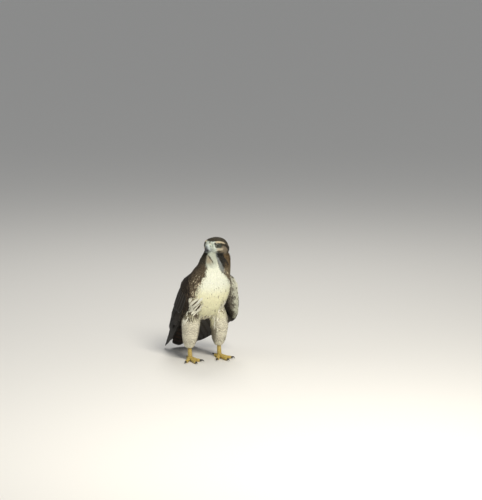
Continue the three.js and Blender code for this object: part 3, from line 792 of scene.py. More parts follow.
lie = spreadOver(lieOfCoat(outer, share), skinEdges, 10)
bodySurface = surfaceOf(outer, skinTris, unit(outerNormals), lie)
size = featherSize(outer)
onHead = toHead(outer)
onBill = (np.hypot(onHead[:, 0], onHead[:, 2] - 3) < 11) & (-onHead[:, 1] > 26.5) & (onHead[:, 2] > -16)
keep = ease(8.3, 9.0, eyeFar) * (1 - onBill)
spots, faces = scatter(outer, skinTris, coat["spacing"] * size**0.85, keep)
spotSize = size[skinTris[faces, 0]]
spotShare = share[skinTris[faces]].mean(axis=1)
spotDepth = depth[skinTris[faces, 0]]
marks = byParts(markings, spots)
s, angle, _ = byParts(trunkPlace, spots)
region = np.argmax(spotShare, axis=1)  # torso, neck, head, right leg, left leg
groups = {
    "coat_breast_right": ((region == 0) & (np.abs(angle) < 95) & (angle < 0), "pale_feathers", trunkUnwrap),
    "coat_breast_left": ((region == 0) & (np.abs(angle) < 95) & (angle >= 0), "pale_feathers", trunkUnwrap),
    "coat_back": ((region == 0) & (np.abs(angle) >= 95), "dark_feathers", trunkUnwrap),
    "coat_neck_front": ((region == 1) & (np.abs(angle) < 90), "dark_feathers", trunkUnwrap),
    "coat_nape": ((region == 1) & (np.abs(angle) >= 90), "dark_feathers", trunkUnwrap),
    "coat_head": (region == 2, "dark_feathers", headUnwrap),
    "coat_leg_right": (region == 3, "pale_feathers", legUnwrap),
    "coat_leg_left": (region == 4, "pale_feathers", legUnwrap),
}
fringe = ease(205, 165, spots[:, 2]) * ease(-60, -20, -spots[:, 1]) * (region == 0)
flank = band(np.abs(angle), 48, 66, 100, 125) * (region == 0) * ease(270, 220, spots[:, 2])
headSpots = toHead(spots)
napeFull = 4.5 * ease(-16, -30, -headSpots[:, 1]) * band(headSpots[:, 2], -52, -30, -6, 8)
napeFull = napeFull * np.isin(region, (1, 2))
right, left = bibEdges(s)
creamy = 0.3 * band(right - angle, -6, 0, 8, 34) * band(s, 3.2, 3.9, 5.6, 6.4)
creamy = creamy + 0.22 * band(angle - left, 8, 14, 10, 40) * band(s, 4.4, 5, 6.5, 6.9)
for name, (chosen, slot, unwrap) in groups.items():
    loose = np.clip(fringe + flank * 0.6, 0, 1)[chosen]
    stand = (0.25 + chance.gamma(1.3, 0.27, chosen.sum())) * spotSize[chosen]
    plan = {
        "size": spotSize[chosen] * (1 + 0.25 * loose),
        "depth": spotDepth[chosen],
        "stand": stand + loose * 1.5 + napeFull[chosen],
        "cling": 1 - 0.6 * fringe[chosen],
        "creamy": creamy[chosen],
    }
    if name.startswith("coat_breast"):
        spotted = (chance.random(chosen.sum()) < 0.022) * (s[chosen] > 3)
        marks[2][chosen] += spotted * 0.9
        marks[0][chosen] = mixed(marks[0][chosen], tints["buff"], spotted[:, None] * 0.75)
    if name == "coat_head":
        plan["shares"], plan["widths"] = [0, 0.5, 1], [0.6, 1.0]
    if name.startswith("coat_leg"):
        plan["length"], plan["width"] = 30, 4.6
        plan["stand"] += 0.7 + chance.gamma(1.2, 0.5, chosen.sum())
    coatPiece(name, bodySurface, spots[chosen], faces[chosen], plan, [m[chosen] for m in marks], unwrap, slot)


# Flanks and lower belly: longer loose feathers, marked with brown, that hang over the thighs
fringes = {  # way is in the bird's own frame
    "flank_feathers_right": {
        "lateral": (-84, -28), "forward": (-30, 66), "height": (166, 218), "spacing": 4.6,
        "length": 35, "width": 6.4, "low": 0.4, "stand": 0,
        "way": (-0.6, 0.1, -1.0), "cling": 0.8, "kinds": (0.22, 0.48, 0.92),
    },
    "flank_feathers_left": {
        "lateral": (28, 82), "forward": (-30, 66), "height": (166, 216), "spacing": 4.4,
        "length": 34, "width": 6.0, "low": 0.15, "stand": 0,
        "way": (0.35, 0.1, -1.0), "cling": 0.85, "kinds": (0.45, 0.72, 0.9),
    },
    "flank_plumes_right": {
        "lateral": (-72, -20), "forward": (10, 80), "height": (166, 236), "spacing": 6.6,
        "length": 58, "width": 6.6, "low": 0, "stand": 1.8,
        "way": (-0.95, 0.1, -1.0), "cling": 0.45, "kinds": (0.66, 0.8, 0.97),
    },
    "flank_plumes_left": {
        "lateral": (34, 84), "forward": (0, 70), "height": (166, 222), "spacing": 7.4,
        "length": 46, "width": 6.4, "low": 0, "stand": 1.5,
        "way": (0.5, 0.1, -1.0), "cling": 0.6, "kinds": (0.6, 0.85, 0.95),
    },
    "belly_fringe": {
        "lateral": (-36, 42), "forward": (-20, 66), "height": (128, 170), "spacing": 3.6,
        "length": 34, "width": 4.6, "low": 0, "stand": 0.8,
        "way": (0.0, 0.15, -1.0), "cling": 0.25, "kinds": (0.5, 0.86, 0.94),
    },
}
fringeFeathers = {  # tint, stain, streak, bar, edge
    "white": ((0.86, 0.84, 0.70), (0.20, 0.155, 0.11), 0.2, 0.0, 0.0),
    "streaked": ((0.80, 0.75, 0.58), (0.13, 0.098, 0.066), 0.9, 0.0, 0.0),
    "brown": ((0.075, 0.054, 0.035), (0.02, 0.015, 0.01), 0.0, 0.0, 1.0),
    "barred": ((0.76, 0.72, 0.56), (0.10, 0.074, 0.048), 0.3, 0.9, 0.0),
}
for name, form in fringes.items():
    reach = np.ones(len(outer))
    for x, key in zip((outer * (1, -1, 1)).T, ("lateral", "forward", "height")):
        low, high = form[key]
        reach = reach * band(x, low, low + 5, high - 5, high)
    fringeSurface = surfaceOf(outer, skinTris, unit(outerNormals), unit(lie * 0.3 + np.array(form["way"])))
    spot, face = scatter(outer, skinTris, np.full(len(outer), float(form["spacing"])), reach)
    count = len(spot)
    kind = np.digitize(chance.random(count), form["kinds"])
    kind[(spot[:, 2] < 190) & (chance.random(count) < form["low"])] = list(fringeFeathers).index("brown")
    fringeMarks = [np.array(column)[kind] for column in zip(*fringeFeathers.values())]
    plan = {
        **form,
        "size": chance.uniform(0.8, 1.15, count),
        "depth": depth[skinTris[face, 0]],
        "stand": 0.6 + chance.gamma(1.5, 0.4, count) + form["stand"],
        "cling": np.full(count, form["cling"]),
        "streaked": 1.0,
        "yaw": 9,
    }
    coatPiece(name, fringeSurface, spot, face, plan, fringeMarks, trunkUnwrap, "pale_feathers")


# Wings: an outer surface through three lines, with an arm under it and tiers of vanes on it
wings = {  # each line from wrist to tip
    "right": {
        "side": -1,
        "leading": {
            "out": [73, 77, 83, 87, 84, 68, 51],
            "forward": [45, 44, 31, 6, -52, -140, -216],
            "height": [264, 229, 188, 146, 92, 36, 5],
        },
        "middle": {
            "out": [66, 84, 89, 91, 80, 60, 46],
            "forward": [14, -2, -26, -50, -88, -156, -213],
            "height": [285, 250, 205, 165, 126, 64, 11],
        },
    },
    "left": {
        "side": 1,
        "leading": {
            "out": [93, 104, 112, 117, 103, 72, 51],
            "forward": [40, 38, 28, 6, -46, -140, -216],
            "height": [269, 228, 183, 130, 90, 38, 5],
        },
        "middle": {
            "out": [74, 90, 97, 99, 88, 62, 46],
            "forward": [14, -4, -28, -52, -90, -156, -213],
            "height": [287, 250, 207, 168, 127, 65, 11],
        },
    },
    "trailing": {
        "out": [42, 36, 29, 21, 14, 12, 30],
        "forward": [3, -28, -48, -70, -98, -152, -208],
        "height": [294, 262, 231, 200, 157, 86, 19],
    },
    "arm": {
        "end": 0.42, "steps": 26, "depth": [18, 34, 38, 37, 30, 16, 5.5], "outer": np.linspace(0, 1, 17),
        "inner": [0.97, 0.94, 0.82, 0.7, 0.55, 0.4, 0.28, 0.18, 0.1, 0.05, 0.02],
        "innerDepth": [0.45, 0.7, 0.92, 1, 1, 1, 1, 0.95, 0.9, 0.8, 0.5],
    },
}


def shareAlong(line):  # how far along a line each of its points lies, from 0 to 1
    far = np.concatenate([[0], np.cumsum(np.linalg.norm(np.diff(line, axis=0), axis=1))])
    return far / far[-1]


def evenCurve(p):  # a centripetal curve through the points, tabled by its length
    p = np.vstack([2 * p[0] - p[1], p, 2 * p[-1] - p[-2]])
    t = np.linspace(0, 1, 60, endpoint=False)[:, None]
    line = []
    for x0, x1, x2, x3 in zip(p[:-3], p[1:-2], p[2:-1], p[3:]):
        d0, d1, d2 = (max(np.sum((b - a) ** 2) ** 0.25, 1e-4) for a, b in ((x0, x1), (x1, x2), (x2, x3)))
        m1 = ((x1 - x0) / d0 - (x2 - x0) / (d0 + d1) + (x2 - x1) / d1) * d1
        m2 = ((x2 - x1) / d1 - (x3 - x1) / (d1 + d2) + (x3 - x2) / d2) * d1
        line.append(x1 + m1 * t + (3 * x2 - 3 * x1 - 2 * m1 - m2) * t**2 + (2 * x1 - 2 * x2 + m1 + m2) * t**3)
    line = np.vstack([*line, p[-2:-1]])
    return shareAlong(line), line


wingLines = {}
for name in ("right", "left"):
    lines = [wings[name]["leading"], wings[name]["middle"], wings["trailing"]]
    points = [at(wings[name]["side"] * np.array(row["out"]), row["forward"], row["height"]) for row in lines]
    wingLines[name] = [evenCurve(p) for p in points]


def wingSurface(name, t, v):  # t from wrist to tip, v from leading to back edge
    t, v = np.broadcast_arrays(np.clip(t, 0, 1), v)
    a, b, c = (
        np.stack([np.interp(t, far, line[:, k]) for k in range(3)], -1) for far, line in wingLines[name]
    )
    v = v[..., None]
    return a * (1 - v) * (1 - 2 * v) + b * 4 * v * (1 - v) + c * v * (2 * v - 1)


def wingOut(name, t, v):
    low = np.clip(t, 0, 0.97)
    along = wingSurface(name, low + 0.03, v) - wingSurface(name, low, v)
    across = wingSurface(name, low, np.add(v, 0.03)) - wingSurface(name, low, np.subtract(v, 0.03))
    return unit(np.cross(along, across)) * wings[name]["side"]


def wingPoint(name, t, v, lift):
    return wingSurface(name, t, v) + wingOut(name, t, v) * np.asarray(lift, float)[..., None]


vaneForm = {"columns": [-1, -0.62, -0.2, 0, 0.2, 0.62, 1], "thickness": 0.45, "shaft": 0.45, "camber": 0.1}


def quill(centre, across, out, left, right, camber=vaneForm["camber"]):
    # one large feather as a closed cambered vane with a raised shaft; left and right are half widths
    columns = np.array(vaneForm["columns"])
    rings = len(centre)
    half = np.where(columns[None] < 0, left[:, None], right[:, None])
    offset = columns[None] * half
    bend = -camber * columns[None] ** 2 * half
    ridge = (columns[None] == 0) * vaneForm["shaft"] * np.linspace(1.2, 0.25, rings)[:, None]
    top = centre[:, None] + across[:, None] * offset[..., None] + out[:, None] * (bend + ridge)[..., None]
    thick = vaneForm["thickness"] * (1 - 0.6 * np.abs(columns[None])) * np.ones((rings, 1))
    under = top - out[:, None] * (thick + ridge * 1.6)[..., None]
    points = np.concatenate([top, under], axis=1).reshape(-1, 3)
    n = len(columns)
    faces = []
    for k in range(rings - 1):
        a, b = k * 2 * n, (k + 1) * 2 * n
        for j in range(n - 1):
            faces.append([a + j, b + j, b + j + 1, a + j + 1])
            faces.append([a + n + j, a + n + j + 1, b + n + j + 1, b + n + j])
        faces.append([a, a + n, b + n, b])
        faces.append([a + n - 1, b + n - 1, b + 2 * n - 1, a + 2 * n - 1])
    for k, turned in ((0, 1), (rings - 1, -1)):
        a = k * 2 * n
        for j in range(n - 1):
            faces.append([a + j, a + j + 1, a + n + j + 1, a + n + j][::turned])
    u = np.tile(np.concatenate([columns, columns]) / 2 + 0.5, rings)
    below = np.tile(np.repeat([0.0, 1.0], n), rings)
    return points, faces, np.column_stack([u, np.repeat(shareAlong(centre), 2 * n)]), below


outlines = {  # along a feather: shares of its length, widths of the leading side and of the trailing side
    "long": (
        [0.0, 0.12, 0.3, 0.5, 0.68, 0.8, 0.88, 0.94, 0.975, 1.0],
        [0.3, 0.55, 0.66, 0.66, 0.6, 0.54, 0.46, 0.34, 0.2, 0.03],
        [0.5, 0.95, 1.2, 1.3, 1.28, 1.16, 0.98, 0.7, 0.42, 0.05],
    ),
    "broad": (
        [0.0, 0.12, 0.3, 0.52, 0.72, 0.84, 0.92, 0.965, 0.99, 1.0],
        [0.35, 0.7, 0.9, 0.98, 0.95, 0.88, 0.72, 0.5, 0.25, 0.05],
        [0.45, 0.85, 1.05, 1.1, 1.08, 1.0, 0.84, 0.58, 0.3, 0.06],
    ),
}
featherColours = {  # tint, stain and marks (streak, bar, edge), each for the top and for the underside
    # flight: real dark brown above, painted nearly black as painted shade on the wing; pale barred underside
    "flight": (
        (0.012, 0.010, 0.008), (0.13, 0.122, 0.11), (0.008, 0.0065, 0.0055), (0.07, 0.06, 0.05),
        (0, 0.5, 0.22), (0, 0.8, 0.1),
    ),
    "coverts": (
        (0.022, 0.0175, 0.0135), (0.20, 0.19, 0.165), (0.010, 0.008, 0.0065), (0.07, 0.06, 0.05),
        (0, 0.4, 0.5), (0, 0.6, 0.1),
    ),
    "scapulars": (
        (0.036, 0.026, 0.018), (0.30, 0.28, 0.24), (0.40, 0.36, 0.29), (0.07, 0.06, 0.05),
        (0, 0.35, 0.9), (0, 0.6, 0.1),
    ),
    # tail: dark rufous brown above, partly darkened as painted shade; the underside is painted darker than
    # the top as painted shade under the tail
    "tail": (
        (0.048, 0.027, 0.017), (0.026, 0.021, 0.017), (0.012, 0.009, 0.007), (0.013, 0.010, 0.008),
        (0, 0.95, 0.35), (0, 0.8, 0.1),
    ),
    # undertail coverts: buff with dark bars, darkened as painted shade under the tail
    "shadowedVent": (
        (0.45, 0.41, 0.33), (0.36, 0.33, 0.27), (0.16, 0.11, 0.07), (0.16, 0.11, 0.07),
        (0, 0.5, 0), (0, 0.5, 0),
    ),
    "rump": (
        (0.10, 0.070, 0.045), (0.3, 0.27, 0.2), (0.40, 0.34, 0.26), (0.1, 0.08, 0.05),
        (0, 0.2, 0.8), (0, 0.4, 0.2),
    ),
}


class FeatherHeap:
    # gathers large feathers for one mesh, each with its own cell of the map
    def __init__(self):
        self.points, self.faces, self.vane, self.tint, self.stain, self.mark = [], [], [], [], [], []
        self.count = 0

    def add(self, made, colour, bars, barsUnder):
        points, faces, local, below = made
        tint, under, stain, stainUnder, mark, markUnder = featherColours[colour]
        shade = chance.normal(1, 0.06)
        below = below[:, None]
        self.points.append(points)
        self.faces += [[i + self.count for i in face] for face in faces]
        self.vane.append(local)
        self.tint.append(mixed(tint, under, below) * shade)
        self.stain.append(mixed(stain, stainUnder, below))
        self.mark.append(mixed((*mark, bars), (*markUnder, barsUnder), below))
        self.count += len(points)

    def make(self, name, slot, node):
        cells = math.ceil(math.sqrt(len(self.vane)))
        cell = [np.array([k % cells, k // cells]) for k in range(len(self.vane))]
        bake = [(corner + 0.06 + 0.88 * local) / cells for corner, local in zip(cell, self.vane)]
        maps = {"OFBake": np.concatenate(bake), "vane": np.concatenate(self.vane)}
        colours = {key: np.concatenate(getattr(self, key)) for key in ("tint", "stain", "mark")}
        made = meshObject(name, np.concatenate(self.points), self.faces, maps, colours, sharp=60)
        place(made, flightFinish, slot, node)
        print(name, len(self.vane), "feathers", sum(len(f) - 2 for f in self.faces), "triangles")


tiers = {  # start and end from wrist to tip, from and to across the wing, both for the first and last feather
    "primaries": {
        "count": 10, "start": [0.2, 0.34], "from": [0.42, 0.06], "to": [1.0, 0.05],
        "end": [0.93, 0.945, 0.955, 0.965, 0.975, 0.985, 0.995, 1, 0.975, 0.91],
        "lift": [-11, -8, -5, -3], "roll": 7, "width": 21, "outline": "long", "colour": "flight", "bars": 11,
    },
    "secondaries": {
        "count": 13, "start": [0.18, 0.24], "end": [0.6, 0.66, 0.75], "from": [0.26, 0.96], "to": [0.2, 0.97],
        "lift": [-9, -5, -3, -1], "roll": 6, "width": 25,
        "outline": "broad", "colour": "flight", "bars": 8,
    },
    "primaryCoverts": {
        "count": 6, "start": [0.24, 0.22], "end": [0.52, 0.46], "from": [0.24, 0.05], "to": [0.22, 0.05],
        "lift": [-9, -4, -2.5, -3], "roll": 7, "width": 15,
        "outline": "long", "colour": "coverts", "bars": 0,
    },
    "greaterCoverts": {
        "count": 11, "start": [0.16, 0.2], "end": [0.43, 0.46], "from": [0.3, 0.95], "to": [0.3, 0.96],
        "lift": [-8, -4, -2.5, -1], "roll": 6, "width": 20,
        "outline": "broad", "colour": "coverts", "bars": 5,
    },
    "medianCoverts": {
        "count": 11, "start": [0.08, 0.1], "end": [0.3, 0.34], "from": [0.1, 0.94], "to": [0.1, 0.94],
        "lift": [-6, -2, -0.6, -0.2], "roll": 5, "width": 19,
        "outline": "broad", "colour": "coverts", "bars": 0,
    },
    "scapulars": {
        "count": 4, "start": [0.03, 0.03], "end": [0.4, 0.54], "from": [0.8, 1.02], "to": [0.84, 1.02],
        "lift": [-6, 0.5, 1.2, 1.4], "roll": 5, "width": 25,
        "outline": "broad", "colour": "scapulars", "bars": 3,
    },
    "upperScapulars": {
        "count": 4, "start": [0.0, 0.0], "end": [0.24, 0.34], "from": [0.78, 1.03], "to": [0.8, 1.04],
        "lift": [-5, 1.0, 2.2, 2.6], "roll": 5, "width": 24,
        "outline": "broad", "colour": "scapulars", "bars": 0,
    },
    "tertials": {
        "count": 6, "start": [0.16, 0.3], "end": [0.76, 0.93], "from": [0.9, 1.0], "to": [0.86, 1.04],
        "lift": [-10, -7, -5, -4], "roll": 5, "width": 24,
        "outline": "broad", "colour": "flight", "bars": 9,
    },
}


def spreadValue(values, i, count):  # the value for one feather of a row
    return float(through(values, i / (count - 1) * (len(values) - 1)))


def wingQuill(name, tier, i):
    count, side = tier["count"], wings[name]["side"]
    start = spreadValue(tier["start"], i, count)
    end = spreadValue(tier["end"], i, count) + chance.normal(0, 0.003)
    vFrom, vTo = spreadValue(tier["from"], i, count), spreadValue(tier["to"], i, count)
    share, leadWide, trailWide = (np.array(part) for part in outlines[tier["outline"]])

    def spot(x, push=0):
        t = start + (end - start) * x
        v = vFrom + (vTo - vFrom) * np.maximum(x, 0) ** 0.8
        return wingPoint(name, t, v + push, through(tier["lift"], np.clip(x, 0, 1) * (len(tier["lift"]) - 1)))

    centre = spot(share)
    along = unit(spot(share + 0.02) - spot(share - 0.02))
    flat = spot(share, 0.03) - spot(share, -0.03)
    flat = unit(flat - along * dot(along, flat))
    out = np.cross(along, flat) * side
    roll = math.radians(tier["roll"] + chance.normal(0, 0.6))
    across = flat * math.cos(roll) - out * math.sin(roll)
    rolled = out * math.cos(roll) + flat * math.sin(roll)
    wide = tier["width"] / 2 * np.interp(share, [0, 0.5, 1], [0.8, 1, 0.95])
    ragged = 1 + 0.05 * np.sin(share * chance.uniform(18, 40) + chance.uniform(0, 6))
    return quill(centre, across, rolled, leadWide * wide, trailWide * wide * ragged)


def wingQuills(name):
    heap = FeatherHeap()
    for tier in tiers.values():
        bars = tier["bars"] / 20
        for i in range(tier["count"]):
            heap.add(wingQuill(name, tier, i), tier["colour"], bars, max(bars, 0.25))
    heap.make("wing_quills_" + name, "dark_feathers", "wing_" + name)


def armMesh(name, sink):
    # the folded arm: outer surface above, a deep inner side towards the body
    arm = wings["arm"]
    steps, innerDepth = arm["steps"], np.array(arm["innerDepth"])
    rings = []
    for i in range(steps + 1):
        share = i / steps
        t, depth = share * arm["end"], through(arm["depth"], share * 6)
        shut = max(0, 1 - share * 8) + max(0, share * 8 - 7)
        outside, inside = (v + (0.5 - v) * shut * 0.2 for v in (arm["outer"], np.array(arm["inner"])))
        lift = -1 - 4 * min(1, share * 8 / 3) - shut * 3 - sink
        inward = at(-wings[name]["side"], 0, 0) * (depth * innerDepth - sink)[:, None]
        rings.append(np.vstack([wingPoint(name, t, outside, lift), wingPoint(name, t, inside, -3) + inward]))
    around = len(rings[0])
    points = np.concatenate(rings + [[rings[0].mean(axis=0)], [rings[-1].mean(axis=0)]])
    faces = []
    for i in range(steps):
        for j in range(around):
            a, b = i * around + j, i * around + (j + 1) % around
            faces += [[a, b, b + around], [a, b + around, a + around]]
    last = steps * around
    for j in range(around):
        k = (j + 1) % around
        faces += [[len(points) - 2, k, j], [len(points) - 1, last + j, last + k]]
    tris = np.array(faces)
    a, b, c = (points[tris[:, k]] for k in range(3))
    return points, tris[:, :: 1 if np.sum(a * np.cross(b, c)) > 0 else -1]


lining = {
    "white": (0.55, 0.55, 0.44), "inner": (0.17, 0.155, 0.125), "dark": (0.016, 0.012, 0.009),
    "stain": (0.010, 0.008, 0.006), "paleStain": (0.045, 0.034, 0.024),
    "length": 19, "width": 8.2, "spacing": 3.0, "depth": 2.0, "yaw": 6, "band": (11, 24), "outerReach": 75,
    "turn": {"right": 0.0, "left": 0.5}, "edge": {"right": (3, 7), "left": (1, 3)},  # how far round the front
}


def armMarkings(name, p, normal):
    # dark outside, pale barred lining inside with the dark leading edge
    leading = wingSurface(name, np.linspace(0, 0.45, 60), np.zeros(60))
    fromEdge = np.min(np.linalg.norm(p[:, None] - leading[None], axis=2), axis=1)
    facing = -normal[:, 0] * wings[name]["side"] * 0.8 - normal[:, 1] * lining["turn"][name]
    inward = ease(0.1, 0.4, facing) * ease(*lining["edge"][name], fromEdge)
    deep = ease(*lining["band"], fromEdge + 4 * np.sin(p[:, 2] * 0.21))
    tint = mixed(lining["dark"], mixed(lining["white"], lining["inner"], deep[:, None]), inward[:, None])
    stain = mixed(lining["stain"], lining["paleStain"], inward[:, None])
    return tint, stain, (0.35 + 0.6 * deep) * inward, 0.75 * deep * inward, 0.9 * (1 - inward)


def wingUnwrap(name):
    def unwrap(p):
        middle = wingSurface(name, np.linspace(0, 0.45, 50), np.full(50, 0.5))
        way = unit(middle[-1] - middle[0])
        rest = p - middle[0] + at(wings[name]["side"] * 12, 0, 0)
        sideways = unit(np.cross(way, [1.0, 0, 0]))
        around = turnShare(rest @ sideways, rest[:, 0])
        return np.column_stack([around, np.clip((rest @ way + 20) / 190, 0, 1)])
    return unwrap


flightFinish = plumageFinish("flightfeathers")
for name in ("right", "left"):
    side = wings[name]["side"]
    wingQuills(name)
    points, tris = armMesh(name, 0.0)
    normals = vertexNormals(points, tris)
    ways = wingSurface(name, 0.3, 0.4) - wingSurface(name, 0.1, 0.4)
    arm = surfaceOf(points, tris, normals, np.tile(unit(ways), (len(points), 1)))
    under, _ = armMesh(name, lining["depth"])
    armTint, armFinish = armMarkings(name, points, normals)[0], skinFinish("armskin_" + name)
    tinted("wing_arm_" + name, under, (tris,), armTint, armFinish, "dark_feathers", "wing_" + name)
    spot, face = scatter(points, tris, np.full(len(points), lining["spacing"]), np.ones(len(points)))
    outside = dot(arm["normal"][face], at(side, 0, 0))[:, 0] > 0.2
    wrist = wingSurface(name, 0, 0.5)
    along = (spot - wrist) @ unit(wingSurface(name, wings["arm"]["end"], 0.5) - wrist)
    chosen = ~outside | (along < lining["outerReach"])
    spot, face = spot[chosen], face[chosen]
    count = len(spot)
    plan = {
        **lining,
        "size": chance.uniform(0.9, 1.2, count),
        "depth": np.full(count, lining["depth"]),
        "stand": 0.3 + chance.gamma(1.3, 0.3, count),
        "cling": np.ones(count),
    }
    armMarks = armMarkings(name, spot, arm["normal"][face])
    coatPiece("coat_wing_" + name, arm, spot, face, plan, armMarks, wingUnwrap(name), "dark_feathers")


# Tail: twelve banded feathers in a closed fan, with coverts above and below
tail = {
    "root": at(0, -74, 138), "tip": at(0, -206, 6.5), "reach": [10, 16, 20, 22, 23], "step": 1.2, "tilt": 4,
    "camber": 0.05, "pairs": 6, "width": 19, "rise": 1.5, "bars": 0.45, "floor": 1.2,
    "coverts": {"pairs": 3, "width": 17, "bars": 0.2, "rows": [(0.5, 3.4), (0.4, 5.0), (0.28, 6.4)]},
}


def tailQuill(side, k, pairs, start, end, width, rise):
    along = tail["tip"] - tail["root"]
    way = unit(along)
    up = -np.cross([1.0, 0, 0], way)
    share, leadWide, trailWide = (np.array(part) for part in outlines["broad"])
    s = start + (end - start) * share
    reach = through(tail["reach"], s * 4)
    lateral = side * (k + 0.5) / (pairs - 0.5) * reach
    height = rise * np.minimum(1, share * 3) - k * tail["step"] - (0.4 if side > 0 else 0)
    centre = tail["root"] + along * s[:, None] + at(lateral, 0, 0) + up * height[:, None]
    centre[:, 2] = np.maximum(centre[:, 2], tail["floor"])
    tilt = math.radians(tail["tilt"]) * side
    across = np.array([math.cos(tilt), 0, 0]) + up * -math.sin(tilt)
    out = up * math.cos(tilt) + np.array([math.sin(tilt), 0, 0])
    ones = np.ones((len(share), 1))
    leads, trails = (leadWide, trailWide) if side < 0 else (trailWide, leadWide)
    return quill(centre, across * ones, out * ones, leads * width / 2, trails * width / 2, tail["camber"])


heap, coverts = FeatherHeap(), tail["coverts"]
for side in (1, -1):
    for k in range(tail["pairs"]):
        made = tailQuill(side, k, tail["pairs"], 0.04, 1 - 0.0015 * k * k, tail["width"], tail["rise"])
        heap.add(made, "tail", tail["bars"], tail["bars"])
    for end, rise in coverts["rows"]:
        for k in range(coverts["pairs"]):
            for colour, lift in (("rump", rise), ("shadowedVent", -3.5 - rise * 1.3)):
                made = tailQuill(side, k, coverts["pairs"], 0.0, end - 0.01 * k, coverts["width"], lift)
                heap.add(made, colour, coverts["bars"], coverts["bars"])
heap.make("tail_quills", "dark_feathers", "tail")


# Bill and cere, lofted along the head
cere = {
    "forward": [27, 31, 35, 38], "top": [11.2, 11.4, 10.7, 9.6], "bottom": [-6.3, -6.3, -6.2, -6],
    "half": [9.2, 9.3, 8.7, 8], "colour": (0.56, 0.61, 0.52),
    "nostril": {
        "forward": 34, "height": 4.4, "reach": (2.7, 1.7), "slant": 0.35, "depth": 2.2, "lip": 0.25,
        # colour: painted shade, near black inside the nostril's opening
        "colour": (0.01, 0.01, 0.01),
    },
}
hook = {
    "topForward": [38, 43, 48, 52.2, 55, 56, 55.2], "topHeight": [9.5, 8.6, 6.3, 2.4, -3, -8.8, -13.6],
    "edgeForward": [38, 41.5, 45, 48.2, 51, 53.2, 54.6], "edgeHeight": [-6, -6.6, -7.2, -8, -9.6, -12, -14],
    "half": [7.8, 7.2, 6.3, 5.1, 3.6, 2, 0.5],
    "base": (0.50, 0.56, 0.55), "tip": (0.02, 0.021, 0.026),
}
mandible = {
    "forward": [22, 27, 32, 37, 42, 46.4, 49], "top": [-2.6, -2.6, -2.6, -3.6, -4.6, -6.6, -8.6],
    "bottom": [-12.8, -13.4, -13.6, -13.4, -12.8, -11.6, -10], "half": [9.9, 8.9, 7.8, 6.7, 5.3, 3.5, 1.1],
    "base": (0.44, 0.48, 0.46),
}


def ovalRing(centre, side, up, half, above, below, around, power):
    angle = 2 * math.pi * (np.arange(around) + 0.5) / around
    x = np.sign(np.cos(angle)) * np.abs(np.cos(angle)) ** (2 / power)
    y = np.sign(np.sin(angle)) * np.abs(np.sin(angle)) ** (2 / power)
    return centre + np.outer(half * x, side) + np.outer(y * np.where(y > 0, above, below), up)


def loft(rings):  # a closed form through rings of points
    around = len(rings[0])
    points = np.concatenate([*rings, [rings[0].mean(axis=0)], [rings[-1].mean(axis=0)]])
    turned = [(j, (j + 1) % around) for j in range(around)]
    starts = [i * around for i in range(len(rings))]
    faces = [[i + a, i + b, i + around + b, i + around + a] for i in starts[:-1] for a, b in turned]
    faces += [[len(points) - 2, b, a] for a, b in turned]
    faces += [[len(points) - 1, starts[-1] + a, starts[-1] + b] for a, b in turned]
    first, second = rings[0], rings[1]
    spin = np.cross(first[1] - first[0], second[0] - first[0]) @ (first[0] - first.mean(axis=0))
    if spin < 0:
        faces = [face[::-1] for face in faces]
    return points, faces


def joinParts(parts):
    offsets = np.cumsum([0] + [len(points) for points, _ in parts])
    faces = [[i + offset for i in face] for (_, part), offset in zip(parts, offsets) for face in part]
    return np.concatenate([points for points, _ in parts]), faces


def alongHead(form, around, power, steps, early=0.0):
    last = len(form["forward"]) - 1
    rings = []
    for s in np.linspace(-early, last, steps):
        top, bottom = through(form["top"], s), through(form["bottom"], s)
        centre = at(0, through(form["forward"], s), (top + bottom) / 2)
        wide, tall = through(form["half"], s), (top - bottom) / 2
        rings.append(ovalRing(centre, [1, 0, 0], [0, 0, 1], wide, tall, tall, around, power))
    return loft(rings)


def hornFinish(name, roughness):
    surface = {"Roughness": roughness, "Specular IOR Level": 0.4, "Coat Weight": 0.12, "Coat Roughness": 0.3}
    f = Finish(name, surface)
    tint, grain, fine = attributeOf(f, "tint"), f.noise(320, 5), f.noise(1500, 3)
    colour = f.blend(f.step(grain, 0.35, 0.7), f.dim(tint, 0.72), tint)
    rough = grain * 0.25 + (roughness - 0.08)
    return f.feed(Base_Color=colour, Roughness=rough, Normal=f.bump(fine + grain, 0.12, 0.0004))


def bareSkinFinish(name, scale, strength):
    f = Finish(name, {"Specular IOR Level": 0.45, "Subsurface Weight": 0.08, "Subsurface Scale": 0.002})
    tint = attributeOf(f, "tint")
    spot = f.add("ShaderNodeTexCoord", output="Object")
    cell = f.add("ShaderNodeTexVoronoi", {"feature": "DISTANCE_TO_EDGE"}, {"Vector": spot, "Scale": scale})
    crease = f.step(cell, 0.0, 0.16)
    grain = f.noise(900, 4)
    colour = f.blend(crease * 0.75 + grain * 0.25, f.dim(tint, 0.55), tint)
    height = crease + grain * 0.3
    return f.feed(Base_Color=colour, Roughness=0.62 - crease * 0.14, Normal=f.bump(height, strength, 0.0005))


def headPiece(name, points, faces, tint, finish, slot, *nodes):
    tinted(name, fromHead(points), faces, tint, finish, slot, *nodes)


points, faces = alongHead(cere, 56, 2.1, 34, 0.5)
nostril = cere["nostril"]
ahead, above = -points[:, 1] - nostril["forward"], points[:, 2] - nostril["height"]
off = np.hypot(ahead / nostril["reach"][0], (above - ahead * nostril["slant"]) / nostril["reach"][1])
onSide = np.abs(points[:, 0]) > 4
pit = ease(1.15, 0.55, off) * onSide
lip = ease(1.9, 1.2, off) * (1 - pit) * onSide
points[:, 0] -= np.sign(points[:, 0]) * (pit * nostril["depth"] - lip * nostril["lip"])
# painted shade: the nostril's pit is painted near black for the shade inside it
tint = mixed(cere["colour"], nostril["colour"], pit[:, None])
headPiece("cere_skin", points, faces, tint, bareSkinFinish("cereskin", 2600, 0.08), "cere_skin", "cere")

